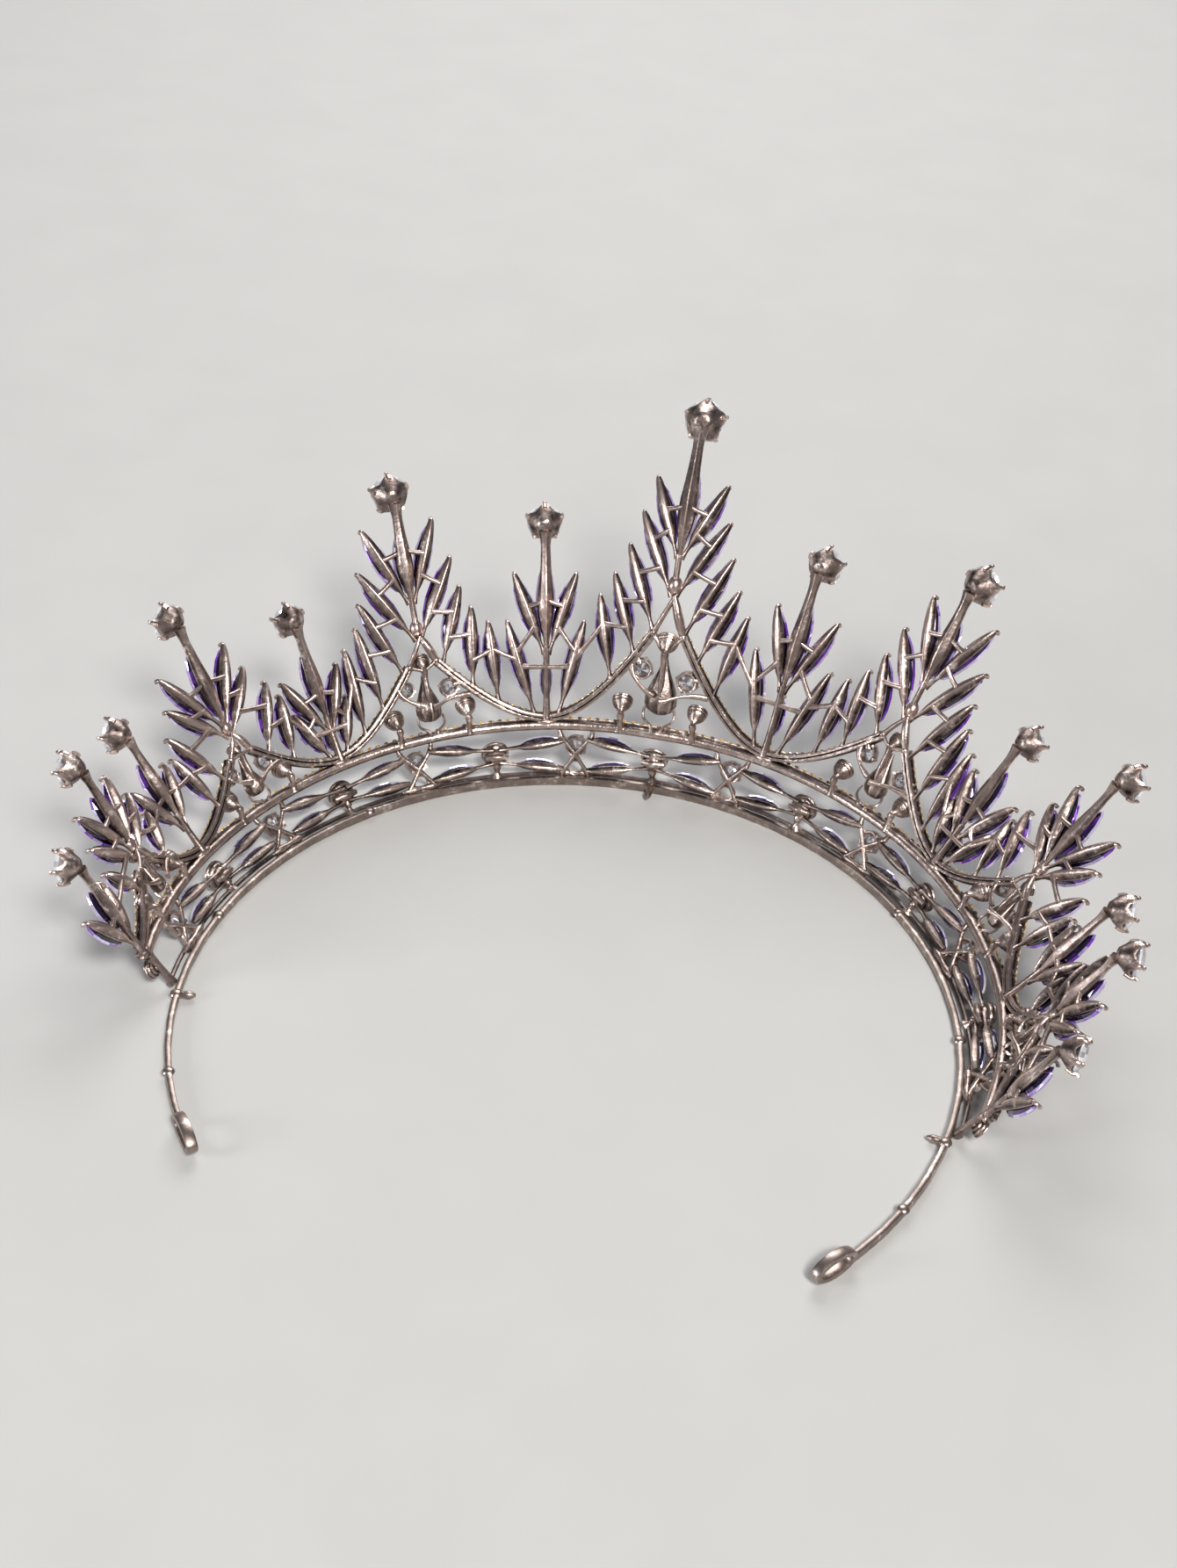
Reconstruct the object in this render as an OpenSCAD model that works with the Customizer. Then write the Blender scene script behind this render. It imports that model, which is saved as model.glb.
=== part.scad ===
/* [Head band] */
// Radius of the band at its centre line
band_r = 70; // [62:0.5:78]
// Width of the band strip seen from above
band_t = 1.5; // [1:0.1:2.4]
// Height of the band strip
band_h = 1.8; // [1.2:0.1:3]
// Length along the band from the centre to the middle of an end loop
loop_s = 157; // [145:0.5:160]
// Length of an end loop along the band
loop_len = 9; // [7:0.5:12]
// Height of an end loop
loop_h = 5; // [4:0.2:7]
// Thickness of the wire of an end loop
loop_wire = 1.5; // [1:0.1:2]

/* [Rails] */
// Length along the band from the centre to the end of the rails
rail_s = 119; // [112:0.5:121]
// Slant height of the upper rail at the centre
rail_mid = 12.7; // [10:0.1:14]
// How much lower the upper rail is at 100 mm from the centre
rail_drop = 2.6; // [0:0.1:4]
// Thickness of the upper rail
rail_t = 1.9; // [1.4:0.1:2.4]
// Gap between the band and the lower rail in front of it
lower_gap = 0.4; // [0.2:0.1:0.8]
// Thickness of the lower rail
lower_t = 1.1; // [0.8:0.1:1.6]
// Spacing of the dome and cross motifs of the frieze
frieze_step = 15.3; // [14:0.1:16]

/* [Swags and spires] */
// Thickness of the swags
swag_t = 1.5; // [1:0.1:2]
// Slant height of the low points of the swags above the upper rail
swag_low = 1.6; // [1:0.1:3]
// Diameter of the pins behind the clawed cups
neck_t = 1.5; // [1:0.1:2]

/* [Leaves and stones] */
// Half the width of a leaf stone
leaf_w = 1.3; // [1:0.05:1.5]
// Half the width of a spire's long stone
spire_w = 1.6; // [1.2:0.05:1.9]
// Width of metal left beside a stone
rim_w = 0.35; // [0.3:0.05:0.5]
// Depth of a leaf cup at its keel
keel = 1.7; // [1.3:0.1:2.2]
// Depth of the bed cut in the front of a leaf cup
bed_d = 0.95; // [0.7:0.05:1.2]
// Share of a leaf's length that is stem
leaf_stem = 0.18; // [0.1:0.01:0.3]
// Share of a spire's long cup that is stem
spire_stem = 0.12; // [0.05:0.01:0.2]
// Share of a frieze marquise that lies behind its dome
frieze_stem = 0.3; // [0.2:0.01:0.4]
// Clear gap between a stone and its cup
seat_gap = 0.2; // [0.12:0.02:0.3]
// Half the width of a frieze marquise
frieze_w = 1.1; // [0.9:0.05:1.3]
// Half the width of the small marquise under a minor spire
small_w = 0.9; // [0.7:0.05:1.1]
// Radius of the dome cups of the frieze
dome_r = 2.5; // [2.2:0.1:2.8]
// Radius of the small cups beside the pear drops
side_r = 1.8; // [1.4:0.1:2]
// How far the tips of the leaves stand forward
flare = 1.2; // [0:0.1:2]

/* [Hidden] */
// Shift that puts the origin under the middle of the crown
centre_y = 30.63;
// Lean of the crown from upright, in degrees, against the length along the band
low_lean = [[0, 8], [22, 20], [42, 31], [60, 39], [76, 44], [92, 45], [104, 41], [120, 35]];
high_lean = [[0, 32], [22, 33], [42, 34], [60, 34.5], [76, 34], [92, 31], [104, 27], [120, 22]];
// Slant height at which the second lean holds
high_v = 45;
// Spires from the middle outward, even ones major and odd ones minor: length along the band,
// height of the round stone above the rail, radius of its cup, foot and top of the long stone's cup
spires = [[0, 63.6, 3.9, 35, 56.5], [20.9, 40.5, 3.4, 14.5, 34.5], [41.7, 48.8, 3.6, 26.5, 42.5],
    [59.6, 30.2, 3.1, 9, 24.8], [75.9, 39.7, 3.2, 17, 34], [92.3, 28.1, 3.1, 8.2, 22.8],
    [104.4, 31, 3.1, 12.5, 25.6], [119.5, 23.3, 3.05, 5.6, 18]];
// Leaves of each spire on one side: tip beside and above the spire's rail point, foot beside it and
// above it, where 0 is a foot that stands on the swag
leaves = [
    [[4.9, 50.5, 0.2, 35.2], [6.3, 43.4, 0.2, 27.7], [7.9, 36.6, 2.6, 0], [9.9, 30.6, 5.5, 0],
        [12.1, 26, 9.4, 0]],
    [[4.7, 30, 0.2, 14], [6.2, 20.5, 2.1, 0]],
    [[4.8, 42.3, 0.25, 26.5], [6.6, 34.4, 0.2, 19.2], [7.5, 28.4, 3.2, 0], [9, 24, 7.9, 0],
        [11.5, 20.7, 12.2, 0]],
    [[4.5, 18.8, 0.2, 6.5], [4.5, 12.2, 1.4, 0]],
    [[5.6, 30.7, 0.2, 17], [6.9, 25, 0.2, 14.7], [9.2, 20.6, 4.5, 0], [10.5, 17, 8.3, 0]],
    [[4, 17.5, 0.2, 6]],
    [[5, 23.8, 0.2, 11.9], [6.8, 18.4, 0.2, 9.7], [7.8, 13.4, 4.6, 0]],
    [[4.4, 13.9, 0.2, 3.2]]];
// Height of the swags' peaks above the rail under the major spires
peaks = [26, 18.4, 13.8, 10.4];
// Scale of the pear drop group under the major spires
drop_scale = [1, 0.8, 0.66, 0.55];

// Every spire with its side: index in the table, then -1, 0 or 1 times its place along the band
places = [for (i = [7:-1:1]) [i, -1], [0, 0], for (i = [1:7]) [i, 1]];

// Radius of the lower rail
lower_r = band_r + band_t / 2 + lower_gap + lower_t / 2;

function unit(a) = a / norm(a);
function low_at(s) = lookup(abs(s), low_lean);
function bend(s) = (lookup(abs(s), high_lean) - low_at(s)) / high_v;
function turn_rate(s) = abs(bend(s)) < 0.01 ? 0.01 : bend(s);
function lean(s, v) = low_at(s) + turn_rate(s) * v;
function reach(s, v) = (cos(low_at(s)) - cos(lean(s, v))) / (turn_rate(s) * PI / 180);
function rise(s, v) = (sin(lean(s, v)) - sin(low_at(s))) / (turn_rate(s) * PI / 180);
function around(s) = s / band_r * 180 / PI;
// Point at radius r and height z, s along the band from the middle of the front
function ring_at(s, r, z) = [r * sin(around(s)), centre_y - r * cos(around(s)), z];
// Point of the leaning crown: s along the band, v up its slant, d in front of it
function spot(s, v, d = 0) =
    ring_at(s, band_r + reach(s, v) + d * cos(lean(s, v)), rise(s, v) - d * sin(lean(s, v)));
function facing(s, v) = let (a = lean(s, v), t = around(s)) [cos(a) * sin(t), -cos(a) * cos(t), -sin(a)];
function rail_v(s) = rail_mid - rail_drop * abs(s) / 100;
function above(s, w, d = 0) = spot(s, rail_v(s) + w, d);
// Axes of a piece that runs from a to b and faces n: across, along and outward
function axes(a, b, n) = let (y = unit(b - a), x = unit(cross(y, n))) [x, y, cross(x, y)];
function put(o, m, p) = o + m[0] * p.x + m[1] * p.y + m[2] * p.z;
function put_all(o, m, list) = [for (p = list) put(o, m, p)];
function circle_at(r, z, n) = [for (i = [0:n - 1]) let (t = -360 / n * (i + 0.5)) [r * cos(t), r * sin(t), z]];

// Solid between two points through rings of n points each
module spindle(first, rings, last) {
    n = len(rings[0]);
    m = len(rings);
    points = [first, for (r = rings) each r, last];
    polyhedron(points, concat(
        [for (j = [0:n - 1]) [0, 1 + (j + 1) % n, 1 + j]],
        [for (i = [0:1:m - 2], j = [0:n - 1]) let (a = 1 + i * n + j, b = 1 + i * n + (j + 1) % n)
            each [[a, b, b + n], [a, b + n, a + n]]],
        [for (j = [0:n - 1]) [1 + (m - 1) * n + j, 1 + (m - 1) * n + (j + 1) % n, m * n + 1]]));
}

// Solid with flat ends through rings of equal numbers of points
module skin(rings) {
    n = len(rings[0]);
    m = len(rings);
    polyhedron([for (r = rings) each r], concat(
        [[for (j = [n - 1:-1:0]) j]],
        [for (i = [0:m - 2], j = [0:n - 1]) let (a = i * n + j, b = i * n + (j + 1) % n)
            each [[a, b, b + n], [a, b + n, a + n]]],
        [[for (j = [0:n - 1]) (m - 1) * n + j]]));
}

// Square bar through centres, each with its outward direction
module bar(centres, outs, w, h) {
    last = len(centres) - 1;
    skin([for (i = [0:last]) let (
        t = unit(centres[min(i + 1, last)] - centres[max(i - 1, 0)]),
        x = unit(cross(t, outs[i])) * w / 2,
        z = unit(cross(x, t)) * h / 2)
        [centres[i] - x - z, centres[i] + x - z, centres[i] + x + z, centres[i] - x + z]]);
}

// Three sided pin between two points
module pin(a, b, t) {
    m = axes(a, b, abs(unit(b - a).z) > 0.8 ? [0, 1, 0] : [0, 0, 1]);
    r = t * 0.6;
    skin([for (o = [a, b]) [for (k = [0:2]) o + (m[0] * cos(120 * k) + m[2] * sin(120 * k)) * r]]);
}

// Outline of a marquise of length l from y0, half width w, at height z
function marquise(y0, l, w, z) = [[0, y0 + l, z], [-w, y0 + l * 0.66, z], [-w, y0 + l * 0.34, z],
    [0, y0, z], [w, y0 + l * 0.34, z], [w, y0 + l * 0.66, z]];

// Boat shaped cup that tapers into its stem, from foot a to tip b. The stone's bed starts at fraction f
module leaf_cup(a, b, n, w, f) {
    m = axes(a, b, n);
    y = norm(b - a) * f;
    l = norm(b - a) - y;
    e = w + rim_w;
    spindle(put(a, m, [0, y + l / 2, -keel]), [put_all(a, m, [[0, y + l, 0], [e, y + l * 0.66, 0],
        [e, y + l * 0.34, 0], [0, -swag_t * 0.3, 0], [-e, y + l * 0.34, 0], [-e, y + l * 0.66, 0]])],
        put(a, m, [0, y + l / 2, -bed_d]));
}

// Faceted marquise stone in the same bed, ending a share top short of the tip
module leaf_stone(a, b, n, w, f, top) {
    m = axes(a, b, n);
    y = norm(b - a) * f + seat_gap * 3;
    l = norm(b - a) * (1 - top) - y;
    cut_stone(put(a, m, [0, y + l / 2, -bed_d + seat_gap * 2]),
        put_all(a, m, marquise(y, l, w, 0.05)), put_all(a, m, marquise(y + l * 0.2, l * 0.6, w * 0.6, 0.95)));
}

// Cut stone: a point, a girdle ring and a table ring
module cut_stone(point, girdle, table) {
    n = len(girdle);
    hull() polyhedron([point, each girdle, each table], concat(
        [for (j = [0:n - 1]) [0, 1 + j, 1 + (j + 1) % n]],
        [for (j = [0:n - 1]) let (a = 1 + j, b = 1 + (j + 1) % n) each [[a, b + n, b], [a, a + n, b + n]]],
        [[for (j = [n - 1:-1:0]) 1 + n + j]]));
}

// Conical cup at o with axes m, radius r, with n sides
module round_cup(o, m, r, n) {
    spindle(put(o, m, [0, 0, -r * 1.05]), [put_all(o, m, circle_at(r, 0, n))], put(o, m, [0, 0, -r * 0.56]));
}

// Pointed claws around a cup
module claws(o, m, r, n, h) {
    for (i = [0:n - 1]) {
        t = 360 / n * (i + 0.5);
        points = [for (p = [[r + 0.15, t - 11, -0.3], [r + 0.15, t + 11, -0.3], [r * 0.72, t, -r * 0.4],
            [r - 0.05, t, h]]) put(o, m, [p[0] * cos(p[1]), p[0] * sin(p[1]), p[2]])];
        hull() polyhedron(points, [[0, 1, 2], [0, 3, 1], [1, 3, 2], [2, 3, 0]]);
    }
}

// Round cut stone for a cup of radius r
module round_stone(o, m, r, n) {
    g = r - rim_w;
    cut_stone(put(o, m, [0, 0, -r * 0.56 + seat_gap * 1.2]), put_all(o, m, circle_at(g, 0.05, n)),
        put_all(o, m, circle_at(g * 0.58, g * 0.36, n)));
}

// Places run from 0 to 14 along the crown; these give one's row, its length along the band and its height
count = len(places);
function row_of(j) = spires[places[j][0]];
function s_of(j) = places[j][1] * row_of(j)[0];
function is_major(j) = places[j][0] % 2 == 0;
function has(j) = j >= 0 && j < count;

// Swag height above the rail: t is 0 at its low point and 1 at its peak under major spire j
function peak(j) = peaks[places[j][0] / 2];
function swag_v(j, t) = swag_low + (peak(j) - swag_low) * pow(t, 1.9);
function swag_beside(j, side, ds) = !has(j + side) ? 0.6
    : let (h = abs(s_of(j + side) - s_of(j)))
    is_major(j) ? swag_v(j, 1 - ds / h) : swag_v(j + side, ds / h);

// Spire cup's centre and axes; the cup tips a little upward
function tip_spot(j) = above(s_of(j), row_of(j)[1], 1.6);
function tip_axes(j) = let (s = s_of(j), v = rail_v(s) + row_of(j)[1], n = facing(s, v),
    u = unit(spot(s, v + 1) - spot(s, v - 1)), z = unit(n + u * 0.35), x = unit(cross(u, z)))
    [x, cross(z, x), z];
// Foot, top and outward direction of the spire's long stone
function spire_foot(j) = above(s_of(j), row_of(j)[3]);
function spire_top(j) = above(s_of(j), row_of(j)[4], 0.4);
function spire_out(j) = facing(s_of(j), rail_v(s_of(j)) + row_of(j)[3] + 8);

// A side leaf is its foot, its tip and its outward direction
function side_leaf(j, side, row) = let (s = s_of(j),
    foot = row[3] > 0 ? row[3] : swag_beside(j, side, row[2]))
    [above(s + side * row[2], foot), above(s + side * row[0], row[1], flare),
        facing(s + side * (row[0] + row[2]) / 2, rail_v(s) + (row[1] + foot) / 2)];
side_leaves = [for (j = [0:count - 1], side = [-1, 1], row = leaves[places[j][0]]) side_leaf(j, side, row)];
majors = [for (j = [0:count - 1]) if (is_major(j)) j];
minors = [for (j = [0:count - 1]) if (!is_major(j)) j];

// Small marquise below each of the four inner minor spires
small_leaves = [for (j = minors) if (places[j][0] < 4) let (s = s_of(j), q = row_of(j)[3] / 14.5)
    [above(s, 3.2 * q, 0.9), above(s, 13 * q, 1.3), facing(s, rail_v(s) + 8 * q)]];

// Two marquises in every cell of the frieze, from beside a dome toward a cross
frieze_leaves = [for (k = [-3:3], side = [-1, 1]) let (s = 2 * k * frieze_step)
    each [for (v = [[rail_v(s) * 0.62, rail_v(s) * 0.8, 0], [rail_v(s) * 0.4, 2.9 / cos(low_at(s)), 0.6]])
        [spot(s + side * 0.3, v[0], v[2]), spot(s + side * (frieze_step - 0.6), v[1]),
            facing(s + side * 8, 6)]]];

// Round settings: centre, axes, radius, depth
function upright(s, v, d) = let (n = facing(s, v), u = unit(spot(s, v + 1) - spot(s, v)), x = cross(u, n))
    [spot(s, v, d), [x, u, n]];
domes = [for (k = [-3:3]) let (s = 2 * k * frieze_step) upright(s, rail_v(s) * 0.52, 2.3)];
function drop(j) = drop_scale[places[j][0] / 2];
posts = [for (j = majors, side = [-1, 1]) let (q = drop(j), s = s_of(j) + side * 7 * pow(q, 0.4))
    upright(s, rail_v(s) + 3 + 2.6 * q, 1.6)];
caps = [for (j = majors) let (s = s_of(j)) upright(s, rail_v(s) + 19.2 * drop(j), 1.6)];
ends = [for (side = [-1, 1]) upright(side * (rail_s - 0.6), 6, 2)];

// Pear outline for a drop of scale q at height z: fat below, pointed above
function pear(q, r, z) = [for (p = [[0, 8.2], [1.1, 5.2], [2.7, 1.8], [2.8, -1.2], [1.4, -3.1],
    [-1.4, -3.1], [-2.8, -1.2], [-2.7, 1.8], [-1.1, 5.2]])
    let (c = p * q, e = unit([p.x, p.y - 0.5])) [c.x + e.x * r, c.y + e.y * r, z]];
function pear_seat(j) = let (s = s_of(j)) upright(s, rail_v(s) + 7.2 * drop(j), 2.7 * drop(j) - 0.7);

module band() {
    steps = 32;
    span = loop_s - loop_len / 2 + 0.6;
    s = [for (i = [0:steps]) span * (2 * i / steps - 1)];
    bar([for (a = s) ring_at(a, band_r, band_h / 2)], [for (a = s) [0, 0, 1]], band_t, band_h);
    for (side = [-1, 1]) end_loop(side * loop_s);
    for (a = [-rail_s - 2, 0, rail_s + 2])
        pin(ring_at(a, band_r, band_h / 2), ring_at(a, band_r - 3.4, band_h / 2), 1.3);
}

// Flat oval wire loop standing in the line of the band
module end_loop(s) {
    n = 8;
    c = ring_at(s, band_r, loop_h / 2);
    t = unit(ring_at(s + 1, band_r, 0) - ring_at(s - 1, band_r, 0));
    out = unit(cross(t, [0, 0, 1]));
    half = loop_wire / 2;
    ring = [for (i = [0:n - 1]) let (a = 360 / n * i) [cos(a), sin(a)]];
    points = [for (i = [0:n - 1], k = [[-half, 1], [half, 1], [half, 0], [-half, 0]])
        c + out * k[0] + t * ring[i].x * (loop_len / 2 - (1 - k[1]) * loop_wire)
            + [0, 0, 1] * ring[i].y * (loop_h / 2 - (1 - k[1]) * loop_wire)];
    polyhedron(points, [for (i = [0:n - 1], j = [0:3]) let (a = i * 4 + j, b = i * 4 + (j + 1) % 4,
        c2 = ((i + 1) % n) * 4 + (j + 1) % 4, d = ((i + 1) % n) * 4 + j) each [[a, b, c2], [a, c2, d]]]);
}

module lower_rail() {
    steps = 24;
    s = [for (i = [0:steps]) rail_s * (2 * i / steps - 1)];
    bar([for (a = s) ring_at(a, lower_r, band_h / 2 + 0.3)], [for (a = s) [0, 0, 1]], lower_t, lower_t);
}

module upper_rail() {
    steps = 24;
    s = [for (i = [0:steps]) rail_s * (2 * i / steps - 1)];
    bar([for (a = s) above(a, 0)], [for (a = s) facing(a, rail_v(a))], rail_t, rail_t);
    for (side = [-1, 1])
        pin(ring_at(side * (rail_s - 0.6), band_r + 1.2, 1), above(side * (rail_s - 0.6), 0), 1.4);
}

// Swag from just past the peak of major spire j down to the low point beside it, with closer steps
// where it is steep. Each point is its length along the band and its height above the rail
function swag_line(j, side) = let (a = s_of(j), b = s_of(j + side), steps = 4)
    [for (i = [0:steps]) let (t = 1.04 * (1 - pow(i / steps, 1.4))) [b + (a - b) * t, swag_v(j, t)]];

module swag(line) {
    bar([for (p = line) above(p[0], p[1])], [for (p = line) facing(p[0], rail_v(p[0]) + p[1])], swag_t, swag_t);
}

// The swags hang in one bow between two major spires, and half a bow at each end
module swags() {
    for (j = majors) if (has(j + 2)) {
        up = swag_line(j + 2, -1);
        swag(concat(swag_line(j, 1), [for (i = [len(up) - 2:-1:0]) up[i]]));
    }
    swag(swag_line(majors[0], -1));
    swag(swag_line(majors[len(majors) - 1], 1));
}

// Stem behind a spire that runs from the swag through the upper leaves' feet into the long cup
module stem(j) {
    low = is_major(j) ? peak(j) - 0.8 : places[j][0] == 7 ? 0 : swag_low - 0.4;
    pin(above(s_of(j), low, -0.3), above(s_of(j), row_of(j)[3] + 1.2, -0.3), 1.5);
}

// Long cup, neck and clawed round cup of a spire
module spire(j) {
    o = tip_spot(j);
    m = tip_axes(j);
    r = row_of(j)[2];
    leaf_cup(spire_foot(j), spire_top(j), spire_out(j), spire_w, spire_stem);
    neck_from = spire_foot(j) * 0.1 + spire_top(j) * 0.9 - spire_out(j) * 0.4;
    pin(neck_from, put(o, m, [0, -r * 0.2, -r * 0.75]), neck_t);
    round_cup(o, m, r, 8);
    claws(o, m, r, 4, 1.1);
}

// Domes and crosses of the frieze, whose posts run through the lower rail into the band
module frieze() {
    for (leaf = frieze_leaves) leaf_cup(leaf[0], leaf[1], leaf[2], frieze_w, frieze_stem);
    for (seat = domes) round_cup(seat[0], seat[1], dome_r, 6);
    for (k = [-3:3]) let (s = 2 * k * frieze_step)
        pin(spot(s, rail_v(s) * 0.68, 0), ring_at(s, lower_r, band_h / 2 + 0.3), 1.3);
    for (k = [-4:3]) let (s = (2 * k + 1) * frieze_step)
        pin(above(s, 0), ring_at(s, band_r + 0.4, band_h / 2), 1.25);
}

// Pear cup with its keel, which hangs from the swags' peak, and the posts beside it
module pear_group(j) {
    q = drop(j);
    s = s_of(j);
    seat = pear_seat(j);
    spindle(put(seat[0], seat[1], [0, -0.6 * q, -2.7 * q]), [put_all(seat[0], seat[1], pear(q, rim_w, 0))],
        put(seat[0], seat[1], [0, -0.6 * q, -1.5 * q]));
    pin(put(seat[0], seat[1], [0, 1.5 * q, -2 * q]), above(s, peak(j) - 0.3, -0.2), 1.3 * sqrt(q));
    for (side = [-1, 1]) {
        post_s = s + side * 7 * pow(q, 0.4);
        pin(above(post_s, 0, 0), above(post_s, 2.75 + 2.6 * q, 0.15), 1.3);
    }
}

module frame() color([0.2, 0.18, 0.17]) union() {
    band();
    lower_rail();
    upper_rail();
    frieze();
    for (j = [0:count - 1]) {
        spire(j);
        stem(j);
    }
    swags();
    for (leaf = side_leaves) leaf_cup(leaf[0], leaf[1], leaf[2], leaf_w, leaf_stem);
    for (leaf = small_leaves) leaf_cup(leaf[0], leaf[1], leaf[2], small_w, leaf_stem);
    for (j = majors) pear_group(j);
    for (seat = concat(posts, caps, ends)) round_cup(seat[0], seat[1], side_r, 6);
}

module tip_stone(j) color([0.86, 0.87, 0.92]) {
    r = row_of(j)[2];
    round_stone(tip_spot(j), tip_axes(j), r, 8);
}

module spire_stone(j) color([0.34, 0.2, 0.55]) {
    leaf_stone(spire_foot(j), spire_top(j), spire_out(j), spire_w, spire_stem, 0.17);
}

module pear_stone(j) color([0.34, 0.2, 0.55]) {
    q = drop(j);
    seat = pear_seat(j);
    cut_stone(put(seat[0], seat[1], [0, -0.6 * q, -1.5 * q + seat_gap * 1.3]),
        put_all(seat[0], seat[1], pear(q, 0, 0.05)), put_all(seat[0], seat[1], pear(q * 0.6, 0, 0.9 * q)));
}

module leaf_stones() color([0.34, 0.2, 0.55]) {
    for (leaf = side_leaves) leaf_stone(leaf[0], leaf[1], leaf[2], leaf_w, leaf_stem, 0.05);
    for (leaf = small_leaves) leaf_stone(leaf[0], leaf[1], leaf[2], small_w, leaf_stem, 0.05);
}

module frieze_stones() color([0.4, 0.28, 0.6]) {
    for (leaf = frieze_leaves) leaf_stone(leaf[0], leaf[1], leaf[2], frieze_w, frieze_stem, 0.1);
}

module round_stones() color([0.86, 0.87, 0.92]) {
    for (seat = domes) round_stone(seat[0], seat[1], dome_r, 6);
    for (seat = concat(posts, caps, ends)) round_stone(seat[0], seat[1], side_r, 6);
}

module tip_stone_1() tip_stone(0);
module tip_stone_2() tip_stone(1);
module tip_stone_3() tip_stone(2);
module tip_stone_4() tip_stone(3);
module tip_stone_5() tip_stone(4);
module tip_stone_6() tip_stone(5);
module tip_stone_7() tip_stone(6);
module tip_stone_8() tip_stone(7);
module tip_stone_9() tip_stone(8);
module tip_stone_10() tip_stone(9);
module tip_stone_11() tip_stone(10);
module tip_stone_12() tip_stone(11);
module tip_stone_13() tip_stone(12);
module tip_stone_14() tip_stone(13);
module tip_stone_15() tip_stone(14);
module spire_stone_1() spire_stone(0);
module spire_stone_2() spire_stone(1);
module spire_stone_3() spire_stone(2);
module spire_stone_4() spire_stone(3);
module spire_stone_5() spire_stone(4);
module spire_stone_6() spire_stone(5);
module spire_stone_7() spire_stone(6);
module spire_stone_8() spire_stone(7);
module spire_stone_9() spire_stone(8);
module spire_stone_10() spire_stone(9);
module spire_stone_11() spire_stone(10);
module spire_stone_12() spire_stone(11);
module spire_stone_13() spire_stone(12);
module spire_stone_14() spire_stone(13);
module spire_stone_15() spire_stone(14);
module pear_stone_1() pear_stone(majors[0]);
module pear_stone_2() pear_stone(majors[1]);
module pear_stone_3() pear_stone(majors[2]);
module pear_stone_4() pear_stone(majors[3]);
module pear_stone_5() pear_stone(majors[4]);
module pear_stone_6() pear_stone(majors[5]);
module pear_stone_7() pear_stone(majors[6]);

frame();
tip_stone_1();
tip_stone_2();
tip_stone_3();
tip_stone_4();
tip_stone_5();
tip_stone_6();
tip_stone_7();
tip_stone_8();
tip_stone_9();
tip_stone_10();
tip_stone_11();
tip_stone_12();
tip_stone_13();
tip_stone_14();
tip_stone_15();
spire_stone_1();
spire_stone_2();
spire_stone_3();
spire_stone_4();
spire_stone_5();
spire_stone_6();
spire_stone_7();
spire_stone_8();
spire_stone_9();
spire_stone_10();
spire_stone_11();
spire_stone_12();
spire_stone_13();
spire_stone_14();
spire_stone_15();
pear_stone_1();
pear_stone_2();
pear_stone_3();
pear_stone_4();
pear_stone_5();
pear_stone_6();
pear_stone_7();
leaf_stones();
frieze_stones();
round_stones();
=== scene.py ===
"""Bridal crown: marquise stones in boat shaped settings, spires with clawed round stones, on a head band."""
import math

import bpy
import numpy as np
from mathutils import Matrix


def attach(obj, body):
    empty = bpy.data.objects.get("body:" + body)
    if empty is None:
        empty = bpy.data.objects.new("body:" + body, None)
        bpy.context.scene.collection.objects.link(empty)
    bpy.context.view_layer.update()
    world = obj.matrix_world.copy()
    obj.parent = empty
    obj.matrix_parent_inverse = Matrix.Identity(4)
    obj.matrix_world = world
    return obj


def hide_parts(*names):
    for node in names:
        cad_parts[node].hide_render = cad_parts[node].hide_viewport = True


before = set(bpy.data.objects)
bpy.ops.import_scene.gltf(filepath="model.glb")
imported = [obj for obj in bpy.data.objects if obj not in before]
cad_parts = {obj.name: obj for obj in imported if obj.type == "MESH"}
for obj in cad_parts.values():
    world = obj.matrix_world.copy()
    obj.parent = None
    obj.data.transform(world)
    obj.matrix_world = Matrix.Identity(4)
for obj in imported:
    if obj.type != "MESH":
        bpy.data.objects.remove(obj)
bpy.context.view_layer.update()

# Named values of the crown, in millimetres and degrees as in the frame's source
BAND_R, BAND_H = 70.0, 1.8
LOOP_S, LOOP_LEN, LOOP_H, LOOP_HALF = 157.0, 9.0, 5.0, 0.62
RAIL_S, RAIL_MID, RAIL_DROP = 119.0, 12.7, 2.6
LOWER_R = 71.7
BAND_SHIFT, BAND_HALF, LOWER_HALF, LOWER_SHIFT = -0.12, 0.58, 0.45, 0.1
FRIEZE_STEP = 15.3
SWAG_LOW = 1.6
LEAF_STEM, SPIRE_STEM, FRIEZE_STEM = 0.18, 0.12, 0.3
SIDE_R, DOME_RISE = 1.8, 0.55
DOME_CUP_R, POST_CUP_R = 2.5 * 1.08, SIDE_R * 1.12
# Half widths of the stones' girdles, which lie on the edges of the frame's cups, and of the ribs behind them
LEAF_GIRDLE, SPIRE_GIRDLE, FRIEZE_GIRDLE, SMALL_GIRDLE = 1.85, 2.05, 1.42, 1.35
LEAF_RIB, FRIEZE_RIB, SMALL_RIB = 1.18, 0.92, 0.86
FLARE = 1.2
JOINT_S = 2.6
SWAG_POWER = 1.9
CROSS_R, LOW_RING_R, DISC_R, CAP_R = 2.0, 1.55, 2.0, 2.2
CENTRE_Y = 30.63
HIGH_V = 45.0
LEAN_S = np.array([0, 22, 42, 60, 76, 92, 104, 120], float)
LOW_LEAN = np.radians([8, 20, 31, 39, 44, 45, 41, 35])
HIGH_LEAN = np.radians([32, 33, 34, 34.5, 34, 31, 27, 22])

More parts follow.
